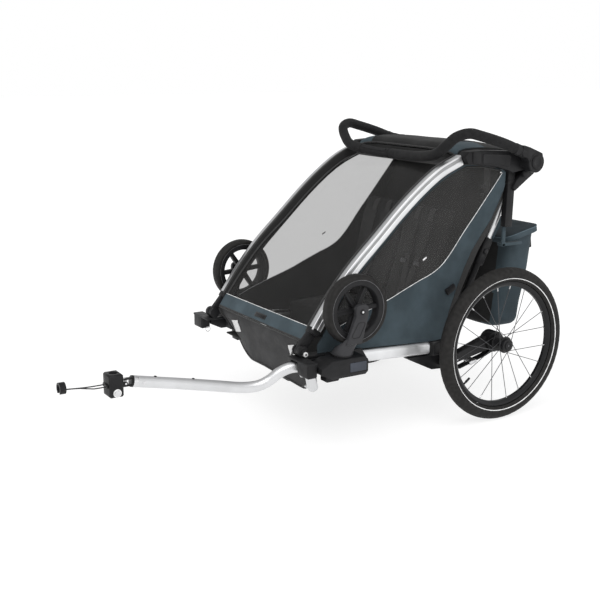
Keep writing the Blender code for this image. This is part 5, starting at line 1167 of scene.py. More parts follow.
def side_trim_parts(upper, seam):
    """Piping on the seam, bindings round the window, a black band up the rear as painted shade, the rail's
    inner strap, and tags.
    """
    def cord(points, out, radius):
        return tube([Vector((SIDE_X + out, y, z)) for y, z in points], radius, 8)
    slate_end = [(0.0395, 0.712), (0.0030, 0.6447), (-0.0345, 0.600), (-0.0720, 0.5516), (-0.1010, 0.500),
                 (-0.1320, 0.430), (-0.1600, 0.360), (-0.1745, 0.300)]
    shade_band_outline = [(0.0470, 0.730)] + SIDE_REAR[1:-1] + [(-0.1650, 0.285)] + slate_end[::-1]
    beam_line = [(-0.134, 0.8262), (-0.115, 0.8266), (-0.085, 0.8256), (-0.055, 0.8222), (-0.020, 0.8172),
                 (0.010, 0.8110)]
    tag_outline = [(-0.2700, 0.5400), (-0.2560, 0.5480), (-0.2540, 0.5440), (-0.2680, 0.5360)]
    piping = cord(seam, 0.0022, sizes().piping)
    window_edge = cord(upper, 0.0010, 0.0030)
    beam_edge = cord(beam_line, 0.0008, 0.0034)
    # A black band up the cloth's rear edge: painted shade where the side meets the rear frame.
    rear_shade_band = flat_cut([shade_band_outline], SIDE_X + 0.0022, 0.0012)
    lug = box((SIDE_X + 0.001, -0.178, 0.424), (SIDE_X + 0.010, -0.140, 0.444), 0.002, 0.5)
    rail_strap = strap([(0.2735, -0.630, 0.2942), (0.2735, -0.250, 0.2752)], 0.0250, 0.0012)
    tag = plate(tag_outline, SIDE_X, SIDE_X + 0.0012)
    return [(piping, "piping"), (window_edge, "webbing"), (rear_shade_band, "webbing"), (tag, "piping"),
            (beam_edge, "webbing"), (rail_strap, "lining"), (lug, "fine plastic")]


def make_sides():
    """Each side's cloth, lined inside, with its window film and its trim."""
    under_tube, rest = side_outline()
    outline = under_tube + rest
    upper, seam = window_outline(under_tube)
    window = upper + seam[::-1]
    for side, sign in SIDES:
        shape = flat_cut([outline, window], SIDE_X, 0.003)
        for face in shape.faces:
            if face.calc_center_median().x < SIDE_X - 0.0012:
                face.material_index = 1
        bmesh.ops.triangulate(shape, faces=shape.faces)
        # The outer face takes the darker slate: painted shade.
        cloth = piece(side + "_side_cloth", [(shape, ["shaded slate", "lining"])], "chassis",
                      (side + "_side_panel",), sign)
        film = flat_cut([window], SIDE_X)
        bmesh.ops.triangulate(film, faces=film.faces)
        pane = piece(side + "_side_window", [(film, "film")], "chassis", sign=sign)
        trim = piece(side + "_side_piping", side_trim_parts(upper, seam), "chassis", sign=sign)
        for obj in (cloth, pane, trim):
            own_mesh(obj)


def make_rear_wall():
    """Cloth wall behind the seats, from the floor up to the roof."""
    line = side_line(REAR_LINE, 0, 6)
    half = 0.2850
    rows = [[Vector((half * (2 * c / 24 - 1), p.y + 0.0012, p.z)) for c in range(25)] for p in line]
    wall = creased(grid(rows, -0.003), 0.0020, 0.11, 5.0)
    obj = piece("rear_wall_cloth", [(wall, "lining")], "chassis", ("rear_panel",))
    run_of(line)
    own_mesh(obj)


def make_bench():
    """Two stuffed seats in one pad, a little lower in front."""
    def crown(place):
        if place.z > 0.1:
            place.z += 0.18 * (1 - (2 * place.y) ** 2) * sin(pi * 2 * abs(place.x)) ** 2
            place.z -= 0.18 * max(0.0, -place.y - 0.2)
        return place
    base = 0.2423
    shape = cushion((-0.228, -0.440, base), (0.228, -0.180, base + 0.100), (11, 4, 1), crown)
    pad = piece("bench_pad", [(creased(shape, 0.0020, 0.05, 1.0), "lining")], "chassis", ("seat_bench",),
                smooth=80)


# Left seat back: its hinge line, its middle, and its two shoulder straps
BACK_Y, BACK_Z = -0.208, 0.3387
BACK_X = 0.118
STRAP_XS = (0.083, 0.153)


def harness_parts():
    """Two shoulder straps with pads and sliders, and the buckle with its button."""
    width = sizes().strap

    def line_at(x, stations):
        """A strap's line from (pull to the middle, distance before the back, height) stations."""
        return smooth_line([(BACK_X + (x - BACK_X) * pull, BACK_Y - out, BACK_Z + height)
                            for pull, out, height in stations], 5)
    parts = []
    for x in STRAP_XS:
        web = line_at(x, ((1, -0.002, 0.340), (1, 0.019, 0.335), (1, 0.0225, 0.250), (0.5, 0.024, 0.120),
                          (0.25, 0.026, 0.050)))
        pad = line_at(x, ((1, 0.0245, 0.300), (1, 0.0262, 0.240), (0.75, 0.0262, 0.180)))
        parts.append((strap(web, width, 0.0022), "webbing"))
        parts.append((strap(pad, width + 0.016, 0.006), "roof"))
    buckle = box((0.100, BACK_Y - 0.036, BACK_Z + 0.028), (0.136, BACK_Y - 0.022, BACK_Z + 0.066), 0.004)
    button_z = BACK_Z + 0.047
    button = knob((BACK_X, BACK_Y - 0.034, button_z), (BACK_X, BACK_Y - 0.0385, button_z), 0.009, 0.001, 20)
    parts += [(buckle, "plastic"), (button, "button")]
    for x in STRAP_XS:
        slider = box((x - 0.014, BACK_Y - 0.0300, BACK_Z + 0.150),
                     (x + 0.014, BACK_Y - 0.0255, BACK_Z + 0.163), 0.0012)
        parts.append((slider, "spoke"))
    return parts


def make_seat_backs():
    """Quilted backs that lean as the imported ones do, with their harnesses."""
    def quilt(place):
        if place.y < -0.1:
            place.y -= 0.35 * (1 - (2 * place.x) ** 2) * (1 - (2 * place.z) ** 2)
            if abs(place.z) < 0.06:
                place.y += 0.35
        return place
    hinge = Matrix.Translation((0, BACK_Y, BACK_Z))
    lean = hinge @ Matrix.Rotation(-radians(17.5), 4, "X") @ hinge.inverted()
    for side, sign in SIDES:
        body = side + "_seat_back"
        shape = cushion((0.008, BACK_Y - 0.015, BACK_Z + 0.004), (0.228, BACK_Y + 0.015, BACK_Z + 0.350),
                        (5, 1, 7), quilt)
        creased(shape, 0.0016, 0.05, 2.0).transform(lean)
        pad = piece(side + "_back_pad", [(shape, "lining")], body, (body,), sign, 80)
        parts = harness_parts()
        for part, _ in parts:
            part.transform(lean)
        harness = piece(side + "_harness", parts, body, sign=sign)
        for obj in (pad, harness):
            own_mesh(obj)


# Nose

NOSE_TOP = (-0.6965, 0.3345)
NOSE_HALF = 0.2612


def corner_share(x, start):
    """How far x has gone from start to the nose's edge."""
    return max(0.0, (x - start) / (NOSE_HALF - start))


def nose_bottom(x):
    """Height of the nose's hem: low over the arm's end on the left, cut away at the right corner."""
    right, left = corner_share(-x, 0.075), corner_share(x, 0.225)
    return 0.188 - 0.050 * max(0.0, x) + 0.058 * right ** 1.3 + 0.045 * left ** 1.6


def nose_at(x, z):
    """A point of the nose cloth at a height, leaning back, with one soft fold below the top."""
    top_y, top_z = NOSE_TOP
    foot_y, foot_z = -0.668, 0.168
    fold_share = 0.36
    share = (top_z - z) / (top_z - nose_bottom(x))
    y = top_y + (foot_y - top_y) * (top_z - z) / (top_z - foot_z)
    y += 0.050 * corner_share(-x, 0.075) ** 1.5 * max(0.0, share) ** 1.6
    fold = 0.0030 * sin(min(1.0, share / fold_share) * pi) if 0.0 < share < fold_share else 0.0
    return Vector((x, y - fold, z))


def nose_point(x, share):
    return nose_at(x, NOSE_TOP[1] + (nose_bottom(x) - NOSE_TOP[1]) * share)


def nose_trim_parts():
    """Two slanted reflectors with a cord beside each, and the cords along the hem and the top."""
    out = Vector((0, -0.0026, 0))
    reflectors = (((0.187, 0.235), 0.263, 0.013), ((-0.182, -0.133), 0.261, 0.011))
    cords = (((0.188, 0.262), (0.252, 0.329)), ((-0.205, 0.262), (-0.250, 0.330)))
    height = 0.041
    parts = []
    for ((inner_x, outer_x), low, lift), ((x, z), (end_x, end_z)) in zip(reflectors, cords):
        wide = outer_x - inner_x
        rows = [[nose_at(inner_x + wide * c / 6, low + lift * c / 6 + height * (1 - r / 6)) + out
                 for c in range(7)] for r in range(7)]
        parts.append((grid(rows, 0.0012), "reflector"))
        line = [nose_at(x + (end_x - x) * t / 8, z + (end_z - z) * t / 8) + out * 2.4 for t in range(9)]
        parts.append((tube(line, 0.0028, 8), "webbing"))
    stations = [0.2600 * (2 * c / 40 - 1) for c in range(41)]
    hem = [nose_point(x, 0.99) + Vector((0, -0.0006, 0)) for x in stations]
    top = [nose_point(x, 0.0) + Vector((0, -0.0008, -0.001)) for x in stations]
    return parts + [(tube(hem, 0.0028, 8), "webbing"), (tube(top, 0.0026, 8), "webbing")]


def make_nose():
    """Coated cloth over the front below the window, with its trim."""
    columns, count = 44, 22
    rows = [[nose_point(NOSE_HALF * (2 * c / columns - 1), r / count) for c in range(columns + 1)]
            for r in range(count + 1)]
    shape = creased(grid(rows, 0.003), 0.0018, 0.075, 6.0,
                    keep=lambda p: min(1.0, (NOSE_HALF - abs(p.x)) / 0.05))
    cloth = piece("nose_cloth", [(shape, "nose")], "chassis", ("nose_tub",))
    drop = run_of([row[columns // 2] for row in rows])
    piece("nose_trim", nose_trim_parts(), "chassis")


# Handlebar

def bar_parts():
    """Padded bar with a smooth strip let into its right half, between two joints in the foam."""
    half = smooth_line(BAR_LINE, 10)
    line = half + [Vector((-p.x, p.y, p.z)) for p in half[-2::-1]]
    joints = (-0.030, -0.176)

    def radius(share):
        x = line[min(len(line) - 1, round(share * (len(line) - 1)))].x
        if joints[1] < x < joints[0]:
            return 0.0152
        return 0.0158 if abs(x) < 0.0012 else 0.0165
    foam = tube(line, radius, 22)
    strip_line = [p + Vector((0, -0.0112, 0.0112)) for p in line if -0.168 < p.x < -0.040]
    parts = [(foam, "foam"), (strap(strip_line, 0.0075, 0.0030, (0, 1, 1)), "fine plastic")]
    half_joint = Vector((0.002, 0, 0))
    for x in joints:
        near = min(line, key=lambda p: abs(p.x - x))
        parts.append((knob(near - half_joint, near + half_joint, 0.0168, 0.0008, 22), "foam"))
    return parts


def hub_shapes():
    """The left hub's cup, the moulded arm above it, and the ribbed collar where the bar begins."""
    low, high = 0.3185, 0.354
    cup = turned([(0.0, 0.0130), (0.0, 0.0300), (0.0030, 0.0330), (0.0325, 0.0330), (0.0355, 0.0305),
                  (0.0355, 0.0224), (0.0292, 0.0222), (0.0292, 0.0130)],
                 (low, HUB.y, HUB.z), (high, HUB.y, HUB.z), 44, ring=True)
    arm_edge = [(0.066, 0.8465, 0.006), (0.066, 0.8825, 0.006), (0.0967, 0.8740, 0.006),
                (0.1500, 0.8535, 0.006), (0.1535, 0.8430, 0), (0.1484, 0.8430, 0), (0.1366, 0.8513, 0),
                (0.1174, 0.8513, 0), (0.1028, 0.8390, 0), (0.0994, 0.8201, 0), (0.086, 0.8400, 0.010)]
    arm = plate(rounded(arm_edge), low, high, 0.006)
    along = (Vector(BAR_LINE[1]) - Vector(BAR_LINE[0])).normalized()
    collar_at = Vector(BAR_LINE[0]) + along * 0.026
    collar = turned([(-0.008, 0.014), (-0.008, 0.0180), (0.008, 0.0184), (0.0088, 0.0172),
                     (0.0112, 0.0172), (0.012, 0.0184), (0.0285, 0.0184), (0.0300, 0.0168),
                     (0.0300, 0.014)], collar_at, collar_at + along, 30, ring=True)
    return cup, arm, collar


def hub_cap_parts():
    """Button in the middle of the hub, with a raised ring on its face."""
    face = knob((0.351, HUB.y, HUB.z), (0.357, HUB.y, HUB.z), 0.0218, 0.0016, 40, 0.0014)
    ring = turned([(0.0, 0.0150), (0.0, 0.0165), (0.0008, 0.0165), (0.0008, 0.0150)],
                  (0.3566, HUB.y, HUB.z), (0.40, HUB.y, HUB.z), 36, ring=True)
    return [(face, "plastic"), (ring, "fine plastic")]


def make_handlebar():
    parts = bar_parts()
    for _, sign in SIDES:
        for shape in hub_shapes():
            if sign < 0:
                shape.transform(Matrix.Diagonal((-1, 1, 1, 1)))
                bmesh.ops.reverse_faces(shape, faces=shape.faces)
            parts.append((shape, "plastic"))
    piece("padded_handlebar", parts, "handlebar", ("handlebar",))
    for side, sign in SIDES:
        button = side + "_hub_button"
        piece(side + "_hub_cap", hub_cap_parts(), button, (button,), sign)


# Rear frame

def window_strap_parts():
    """Strap that hangs from the beam behind the left window, with its two clips."""
    line = smooth_line([(0.279, -0.016, 0.8190), (0.2805, -0.016, 0.790), (0.280, -0.014, 0.755),
                        (0.2795, -0.012, 0.712)], 5)
    end = box((0.2690, -0.030, 0.8185), (0.2805, 0.000, 0.8225), 0.001)
    parts = [(strap(line, 0.024, 0.0018, (0, 1, 0)), "webbing"), (end, "webbing")]
    for z in (0.752, 0.727):
        clip = box((0.2775, -0.040, z - 0.006), (0.2825, -0.020, z + 0.004), 0.001)
        parts.append((clip, "fine plastic"))
    return parts


def make_rear_frame():
    edge = sizes().edge
    finished_node("rear_frame", "aluminium", edge)
    for side, _ in SIDES:
        finished_node(side + "_rear_leg", "plastic", edge)
        finished_node(side + "_latch_button", "fine plastic", edge * 0.6)
        if side == "left":
            piece("left_window_strap", window_strap_parts(), "front_frame")


# Stroller wheels

def stroller_spoke(angle):
    """One of the wheel's moulded arms, wide at the hub, with a hollow in its outer face."""
    near_y, near_z = polar(0.012, angle)
    far_y, far_z = polar(0.0735, angle)
    wide_y, wide_z = polar(0.0078, angle + pi / 2)
    slim_y, slim_z = polar(0.0060, angle + pi / 2)
    y, z = STROLLER.y, STROLLER.z
    corners = [(y + near_y + wide_y, z + near_z + wide_z), (y + near_y - wide_y, z + near_z - wide_z),
               (y + far_y - slim_y, z + far_z - slim_z), (y + far_y + slim_y, z + far_z + slim_z)]
    return plate(corners, STROLLER.x - 0.0090, STROLLER.x + 0.0090, 0.0012, (0.0026, 0.0015))


def stroller_wheel_parts():
    half, outer, spokes = 0.0175, 0.0902, 6
    wall = [(-half, 0.0900), (-0.0165, outer), (0.0165, outer), (half, 0.0900), (half, 0.0800),
            (0.0164, 0.0745), (0.0120, 0.0712), (0.0030, 0.0705), (-0.0030, 0.0705),
            (-0.0120, 0.0712), (-0.0164, 0.0745), (-half, 0.0800)]
    parts = [(wheel_ring(wall, STROLLER, 72), "plastic")]
    for i in range(spokes):
        parts.append((stroller_spoke(2 * pi * i / spokes + radians(4)), "plastic"))
    hub = turned([(0.0, 0.0055), (0.0, 0.0145), (0.0015, 0.0160), (0.037, 0.0160), (0.0385, 0.0145),
                  (0.0385, 0.0055)], STROLLER - Vector((half, 0, 0)), STROLLER + Vector((half, 0, 0)),
                 32, ring=True)
    return parts + [(hub, "plastic")]


def stroller_tyre_parts():
    """Solid tyre with a grey line round each of its edges."""
    edge = [(0.0052, 0.1054), (0.0120, 0.1046), (0.0172, 0.1022), (0.0196, 0.0985), (0.0200, 0.0950),
            (0.0192, 0.0907)]
    wall = [(-x, r) for x, r in edge[::-1]] + [(0.0, 0.1050)] + edge
    parts = [(wheel_ring(wall, STROLLER, 80), "wheel rubber")]
    half = 0.0007
    for x in (-0.0183, 0.0183):
        line = [(x - half, 0.0893), (x + half, 0.0893), (x + half, 0.0908), (x - half, 0.0908)]
        parts.append((wheel_ring(line, STROLLER, 80), "line"))
    return parts


def stroller_foot(outer):
    """Rounded foot that narrows up into the leg, flat where the leg's outer face cuts it."""
    levels = ((SWIVEL.x, SWIVEL.y, SWIVEL.z + 0.0040, 0.0290, 0.0300),
              (SWIVEL.x, SWIVEL.y, SWIVEL.z + 0.0060, 0.0300, 0.0310),
              (0.3505, -0.6085, 0.3110, 0.0290, 0.0302), (0.3560, -0.6050, 0.3230, 0.0245, 0.0290),
              (0.3650, -0.6000, 0.3340, 0.0180, 0.0280), (0.3730, -0.5950, 0.3430, 0.0115, 0.0272),
              (0.3806, -0.5905, 0.3540, 0.0076, 0.0266))
    rings = []
    for x, y, z, half_x, half_y in levels:
        outline = squared(half_x, half_y, 0.8, 40)
        rings.append([Vector((min(x + a, outer + 0.0002), y + b, z)) for a, b in outline])
    return loft(rings)


def stroller_leg_parts():
    """Leg with a sunk panel, its foot on the swivel's turret, and the wheel's bolt."""
    y, z = STROLLER.y, STROLLER.z
    inner, outer = 0.3735, 0.388
    seat_z, above = SWIVEL.z, (SWIVEL.x, SWIVEL.y, 0.5)
    leg_edge = [(-0.6190, 0.3380, 0.004), (-0.5640, 0.3380, 0.004), (y + 0.022, z - 0.012, 0.010),
                (y + 0.022, z + 0.022, 0.021), (y - 0.022, z + 0.022, 0.021), (y - 0.022, z - 0.012, 0.010)]
    panel_edge = [(-0.6060, 0.3560, 0.008), (-0.5740, 0.3560, 0.008), (y + 0.0140, z - 0.030, 0.008),
                  (y - 0.0145, z - 0.030, 0.008)]
    leg = plate(rounded(leg_edge, 6), inner, outer, 0.0026)
    panel = plate(rounded(panel_edge), outer - 0.0008, outer + 0.0006, 0.0, (0.0016, 0.0014))
    turret = turned([(0.0, 0.0), (0.0, 0.0300), (0.0030, 0.0300), (0.0040, 0.0292), (0.0070, 0.0290),
                     (0.0080, 0.0283), (0.0120, 0.0280), (0.0130, 0.0272), (0.0130, 0.0)],
                    SWIVEL, above, 40)
    cone = turned([(0.0, 0.026), (0.012, 0.0225), (0.0122, 0.0)], (SWIVEL.x, SWIVEL.y, seat_z + 0.0128),
                  above, 36)
    spindle = knob((SWIVEL.x, SWIVEL.y, 0.281), (SWIVEL.x, SWIVEL.y, seat_z + 0.004), 0.008, 0.0006, 20)
    bolt = knob((0.3305, y, z), (outer - 0.002, y, z), 0.005, 0.0006, 16)
    head = knob((outer - 0.002, y, z), (outer + 0.0016, y, z), 0.0085, 0.001, 24)
    screw = knob((outer + 0.0010, y, z), (outer + 0.0026, y, z), 0.0036, 0.0004, 16, 0.0006)
    return [(leg, "grey plastic"), (panel, "fine plastic"), (stroller_foot(outer), "grey plastic"),
            (turret, "plastic"), (cone, "plastic"), (spindle, "black metal"), (bolt, "black metal"),
            (head, "plastic"), (screw, "steel")]


def corner_bolt_parts():
    """White cap on the front frame's pivot, with a dark dot, and the steel ring below it."""
    y, z = FRAME_PIVOT.y + 0.0030, FRAME_PIVOT.z - 0.0060
    low, face, dot_face = 0.3000, 0.3108, 0.3114
    ring_y, ring_z, ring_radius, steps = -0.7190, 0.2480, 0.0085, 24
    cap = knob((low, y, z), (face, y, z), 0.0074, 0.0010, 28)
    dot = knob((face - 0.0002, y, z), (dot_face, y, z), 0.0034, 0.0003, 16)
    turns = [2 * pi * k / steps for k in range(steps)]
    ring_line = [Vector((0.3056, ring_y + ring_radius * cos(t), ring_z + ring_radius * sin(t)))
                 for t in turns]
    ring = tube(ring_line, 0.0011, 8, closed=True)
    return [(cap, "piping"), (dot, "black metal"), (ring, "steel")]


def make_stroller_wheels():
    edge = sizes().edge
    for side, sign in SIDES:
        wheel = side + "_stroller_wheel"
        piece(side + "_moulded_wheel", stroller_wheel_parts(), wheel, (wheel,), sign)
        piece(side + "_solid_tyre", stroller_tyre_parts(), wheel, (side + "_stroller_tyre",), sign)
        piece(side + "_wheel_leg", stroller_leg_parts(), side + "_swivel", (side + "_stroller_leg",),
              sign)
        finished_node(side + "_flip_housing", "plastic", edge)
        finished_node(side + "_flip_button", "button", edge * 0.8)
        finished_node(side + "_front_corner", "plastic", edge)
        piece(side + "_corner_bolt", corner_bolt_parts(), "chassis", sign=sign)


# Hitch

def hitch_arm_parts():
    """Bent silver tube with two plastic studs on top and a steel lip at its mouth."""
    line = smooth_line(ARM_LINE, 8)
    parts = [(tube(line, 0.0165, 28), "arm")]
    for stud_y in (-1.150, -1.040):
        near = min(line, key=lambda p: abs(p.y - stud_y))
        foot, top = near + Vector((0, 0, 0.0150)), near + Vector((0, 0.0005, 0.0185))
        parts.append((knob(foot, top, 0.0042, 0.001, 16), "plastic"))
    mouth = line[0]
    run = (line[1] - mouth).normalized()
    lip = turned([(0.0, 0.0125), (0.0, 0.0170), (0.012, 0.0170), (0.013, 0.0163), (0.013, 0.0125)],
                 mouth, mouth + run, 28, ring=True)
    return parts + [(lip, "steel")]


def make_hitch():
    piece("silver_arm", hitch_arm_parts(), "hitch_arm", ("hitch_arm",))
    finished_node("hitch_neck", "black metal", 0.0004)
    finished_node("hitch_knuckle", "steel", 0.0003)
    finished_node("hitch_coupler", "plastic", 0.0012)
    disc_y, disc_z = -1.2665, 0.2665
    disc = knob((0.2455, disc_y, disc_z), (0.2461, disc_y, disc_z), 0.0118, 0.0003, 28)
    piece("coupler_disc", [(disc, "piping")], "hitch_coupler")
    finished_node("lock_pin", "steel", 0.0005)
    finished_node("snap_button", "steel", 0.0005)
    finished_node("stay_wire", "black metal", None)
    finished_node("hitch_saddle", "plastic", 0.0005)


# Cargo bag

def bag_section(share):
    """Half width, front and rear of the bag at a share of its depth, with a soft sag."""
    sag = 0.005 * sin(pi * min(1.0, share * 1.05)) ** 1.5
    front = Vector(BAG_TOP[0]).lerp(Vector(BAG_BOTTOM[0]), share)
    rear = Vector(BAG_TOP[1]).lerp(Vector(BAG_BOTTOM[1]), share)
    return 0.252 - 0.020 * share, front, rear + Vector((sag, 0.0))


def bag_ring(share, shrink):
    """The bag's outline at a share of its depth, drawn in by shrink on every side."""
    sides = 64
    half, front, rear = bag_section(min(1.0, share))
    depth = (rear.x - front.x) / 2 * (1 - shrink / 0.1)
    middle_y = (front.x + rear.x) / 2
    points = []
    for x, y in squared(half - shrink, depth, 0.30, sides):
        z = front.y + (rear.y - front.y) * (y / max(depth, 1e-6) + 1) / 2
        points.append(Vector((x, middle_y + y, z)))
    return points


def bag_shape(rings):
    """Walls down, round under and across the floor; then the same as a lining inside. The front wall takes
    the dark inner cloth as painted shade.
    """
    cloth, lining = 0, 1
    shape = bmesh.new()
    outer = [[shape.verts.new(p) for p in ring] for ring in rings]
    for first, second in zip(outer, outer[1:]):
        for i in range(len(first)):
            k = (i + 1) % len(first)
            face = shape.faces.new((first[i], first[k], second[k], second[i]))
            middle = face.calc_center_median()
            # Faces of the front wall take the dark inner cloth: painted shade.
            painted_shade_front_wall = middle.y < 0.105 - 0.06 * (0.57 - middle.z)
            face.material_index = lining if painted_shade_front_wall else cloth
    shape.faces.new(outer[-1])
    bmesh.ops.recalc_face_normals(shape, faces=shape.faces)
    creased(shape, 0.0035, 0.085, 4.0, keep=lambda p: min(1.0, max(0.0, (0.575 - p.z) / 0.06)))
    shape.normal_update()
    copies = {v: shape.verts.new(v.co - v.normal * 0.003) for v in list(shape.verts)}
    rim = [e for e in shape.edges if len(e.link_faces) == 1]
    for face in list(shape.faces):
        shape.faces.new([copies[v] for v in reversed(face.verts)]).material_index = lining
    for edge in rim:
        a, b = edge.verts
        shape.faces.new((a, b, copies[b], copies[a])).material_index = lining
    bmesh.ops.recalc_face_normals(shape, faces=shape.faces)
    return shape


def lid_parts():
    """Flat lid with rounded corners that laps over the bag's mouth, its top face darker as painted shade, and
    the paler edge cord round it as a painted highlight.
    """
    run = Vector((0, BAG_TOP[1][0] - BAG_TOP[0][0], BAG_TOP[1][1] - BAG_TOP[0][1]))
    middle = Vector((0, (BAG_TOP[0][0] + BAG_TOP[1][0]) / 2, (BAG_TOP[0][1] + BAG_TOP[1][1]) / 2))
    placed = Matrix.Translation(middle) @ Matrix.Rotation(atan2(run.z, run.y), 4, "X")
    half_x, half_y, front_corner, rear_corner = 0.257, run.length / 2 + 0.005, 0.040, 0.032
    outline = rounded([(-half_x, -half_y, front_corner), (half_x, -half_y, front_corner),
                       (half_x, half_y, rear_corner), (-half_x, half_y, rear_corner)], 7)
    levels = ((0.35, 0.0093), (0.62, 0.0088), (0.82, 0.0080), (0.93, 0.0068), (0.985, 0.0050),
              (1.0, 0.0028), (1.0, -0.0145), (0.994, -0.0155), (0.988, -0.0145), (0.986, 0.0016))
    shape = loft([[Vector((x * share, y * share, z)) for x, y in outline] for share, z in levels])
    # Faces that look up take the darker lid cloth, painted shade; the rest take the slate.
    for face in shape.faces:
        face.material_index = 0 if face.normal.z > 0.75 else 1
    shape.transform(placed)
    # The cord round the lid's edge is paler slate: a painted highlight along the edge.
    edge_line = [placed @ Vector((x * 1.001, y * 1.002, 0.0032)) for x, y in outline]
    edge = sweep(edge_line, circle(0.0014, 6), closed=True)
    return [(shape, ["lid", "slate"]), (edge, "pale edge")]


def bag_clasp_parts():
    """Buckle on its strap at the bag's rear, and the two flaps that hold the mouth's front edge."""
    strap_x = 0.209
    buckle = box((0.196, 0.2400, 0.520), (0.222, 0.2500, 0.556), 0.0025, 0.13)
    web_line = [(strap_x, 0.2470, 0.570), (strap_x, 0.2460, 0.545), (strap_x, 0.2400, 0.500),
                (strap_x, 0.2340, 0.470)]
    parts = [(buckle, "fine plastic"), (strap(smooth_line(web_line, 5), 0.018, 0.0018), "webbing")]
    for x in (-0.232, 0.232):
        line = [(x, 0.0590, 0.5735), (x, 0.0800, 0.6050), (x, 0.1014, 0.6367)]
        flap = strap(line, 0.020, 0.0020, (0, 1, 0))
        parts.append((flap, "slate"))
    return parts


def make_bag():
    """The bag with its rim binding, its lid and its clasp."""
    walls = 18
    rings = [bag_ring(level / walls * 0.93, 0.0) for level in range(walls + 1)]
    for shrink, share in ((0.004, 0.965), (0.012, 0.988), (0.026, 1.0), (0.060, 1.003), (0.085, 1.004)):
        rings.append(bag_ring(share, shrink))
    middle = Vector((0, 0.19, 0.59))
    rim_line = [p + Vector((0, 0, -0.001)) for p in rings[0]]
    binding = tube([p + (p - middle).normalized() * 0.0006 for p in rim_line], 0.0032, 8, closed=True)
    # The bag's walls take the darker slate and its front wall the dark roof cloth: painted shade.
    bag = piece("bag_shell", [(bag_shape(rings), ["shaded slate", "roof"]), (binding, "slate")], "chassis",
                ("cargo_bag",), smooth=60)
    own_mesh(bag)
    lid = piece("lid_cloth", lid_parts(), "bag_lid", ("bag_lid",), smooth=50)
    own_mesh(lid)
    clasp = piece("bag_buckles", bag_clasp_parts(), "chassis")
    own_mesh(clasp)


# Studio

def put(obj, location, rotation):
    bpy.context.scene.collection.objects.link(obj)
    obj.location = location
    obj.rotation_euler = rotation


def make_floor(studio):
    """Pale floor that gives some light by itself, so that it stays white."""
    mesh = bpy.data.meshes.new("floor")
    shape = bmesh.new()
    bmesh.ops.create_grid(shape, x_segments=1, y_segments=1, size=30.0)
    shape.to_mesh(mesh)
    shape.free()
    floor = bpy.data.objects.new("floor", mesh)
    bpy.context.scene.collection.objects.link(floor)
    finish = Finish("pale floor", studio.floor, 0.9, glow=studio.glow)
    finish.shader.inputs["Emission Color"].default_value = (1.0, 1.0, 1.0, 1.0)
    finish.spotted(0.8, 0.99, 1.01)
    mesh.materials.append(finish.material)


def make_sky(studio):
    """Soft light from all round, white at the horizon and dimmer overhead."""
    world = bpy.data.worlds.new("studio")
    bpy.context.scene.world = world
    world.use_nodes = True
    sky = world.node_tree
    background = sky.nodes["Background"]
    background.inputs["Strength"].default_value = studio.sky
    split = sky.nodes.new("ShaderNodeSeparateXYZ")
    ramp = sky.nodes.new("ShaderNodeValToRGB")
    horizon, overhead = ramp.color_ramp.elements
    horizon.position = 0.10
    horizon.color = (1.0, 1.0, 1.0, 1.0)
    overhead.position = 0.42
    overhead.color = (studio.dome, studio.dome, studio.dome, 1.0)
    direction = sky.nodes.new("ShaderNodeTexCoord").outputs["Generated"]
    sky.links.new(direction, split.inputs["Vector"])
    sky.links.new(split.outputs["Z"], ramp.inputs["Fac"])
    sky.links.new(ramp.outputs["Color"], background.inputs["Color"])


def make_lamps(studio):
    """A large light high in front on the left, and a weak one from the left rear."""
    lamps = (("key light", (1.3, -1.1, 2.4), 1.0, 55), ("side light", (2.0, 2.2, 1.2), 0.25, 70))
    for name, location, strength, angle in lamps:
        lamp = bpy.data.lights.new(name, "SUN")
        lamp.angle = radians(angle)
        lamp.energy = studio.key * strength
        aim = (-Vector(location)).to_track_quat("-Z", "Y").to_euler()
        put(bpy.data.objects.new(name, lamp), location, aim)


def make_camera(studio):
    """The camera where the photograph was taken from."""
    camera = bpy.data.objects.new("camera", bpy.data.cameras.new("camera"))
    camera.data.lens = studio.lens
    camera.data.sensor_width = 36.0
    camera.data.clip_end = 100.0
    location = (2.7511, AXLE_Y - 2.2326, 1.1388)
    tilt, heading = radians(76.913), radians(58.375)
    put(camera, location, (tilt, 0.0, heading))
    bpy.context.scene.camera = camera


def make_studio():
    studio = bpy.context.scene.trailer_studio
    make_floor(studio)
    make_sky(studio)
    make_lamps(studio)
    make_camera(studio)
    bpy.context.scene.view_settings.view_transform = "Standard"


# Operators, panel and registration

def done(*makers):
    """Run the makers in order, after the finishes, and say that the operator has finished."""
    if not finishes:
        make_finishes()
    for make in makers:
        make()
    return {"FINISHED"}


class TRAILER_OT_studio(bpy.types.Operator):
    """Make the floor, the soft lights and the camera"""
    bl_idname = "trailer.studio"
    bl_label = "Studio"
    bl_options = {"REGISTER", "UNDO"}

    def execute(self, context):
        return done(make_studio)


class TRAILER_OT_rear_wheels(bpy.types.Operator):
    """Make the tyres, spoked wheels and release caps"""
    bl_idname = "trailer.rear_wheels"
    bl_label = "Rear wheels"
    bl_options = {"REGISTER", "UNDO"}

    def execute(self, context):
        return done(make_rear_wheels)


class TRAILER_OT_running_gear(bpy.types.Operator):
    """Finish the suspension, rails, floor and brake pedal"""
    bl_idname = "trailer.running_gear"
    bl_label = "Running gear"
    bl_options = {"REGISTER", "UNDO"}

    def execute(self, context):
        return done(make_running_gear)


class TRAILER_OT_front_tubes(bpy.types.Operator):
    """Make the two front tubes and their binding"""
    bl_idname = "trailer.front_tubes"
    bl_label = "Front tubes"
    bl_options = {"REGISTER", "UNDO"}

    def execute(self, context):
        return done(make_front_tubes)


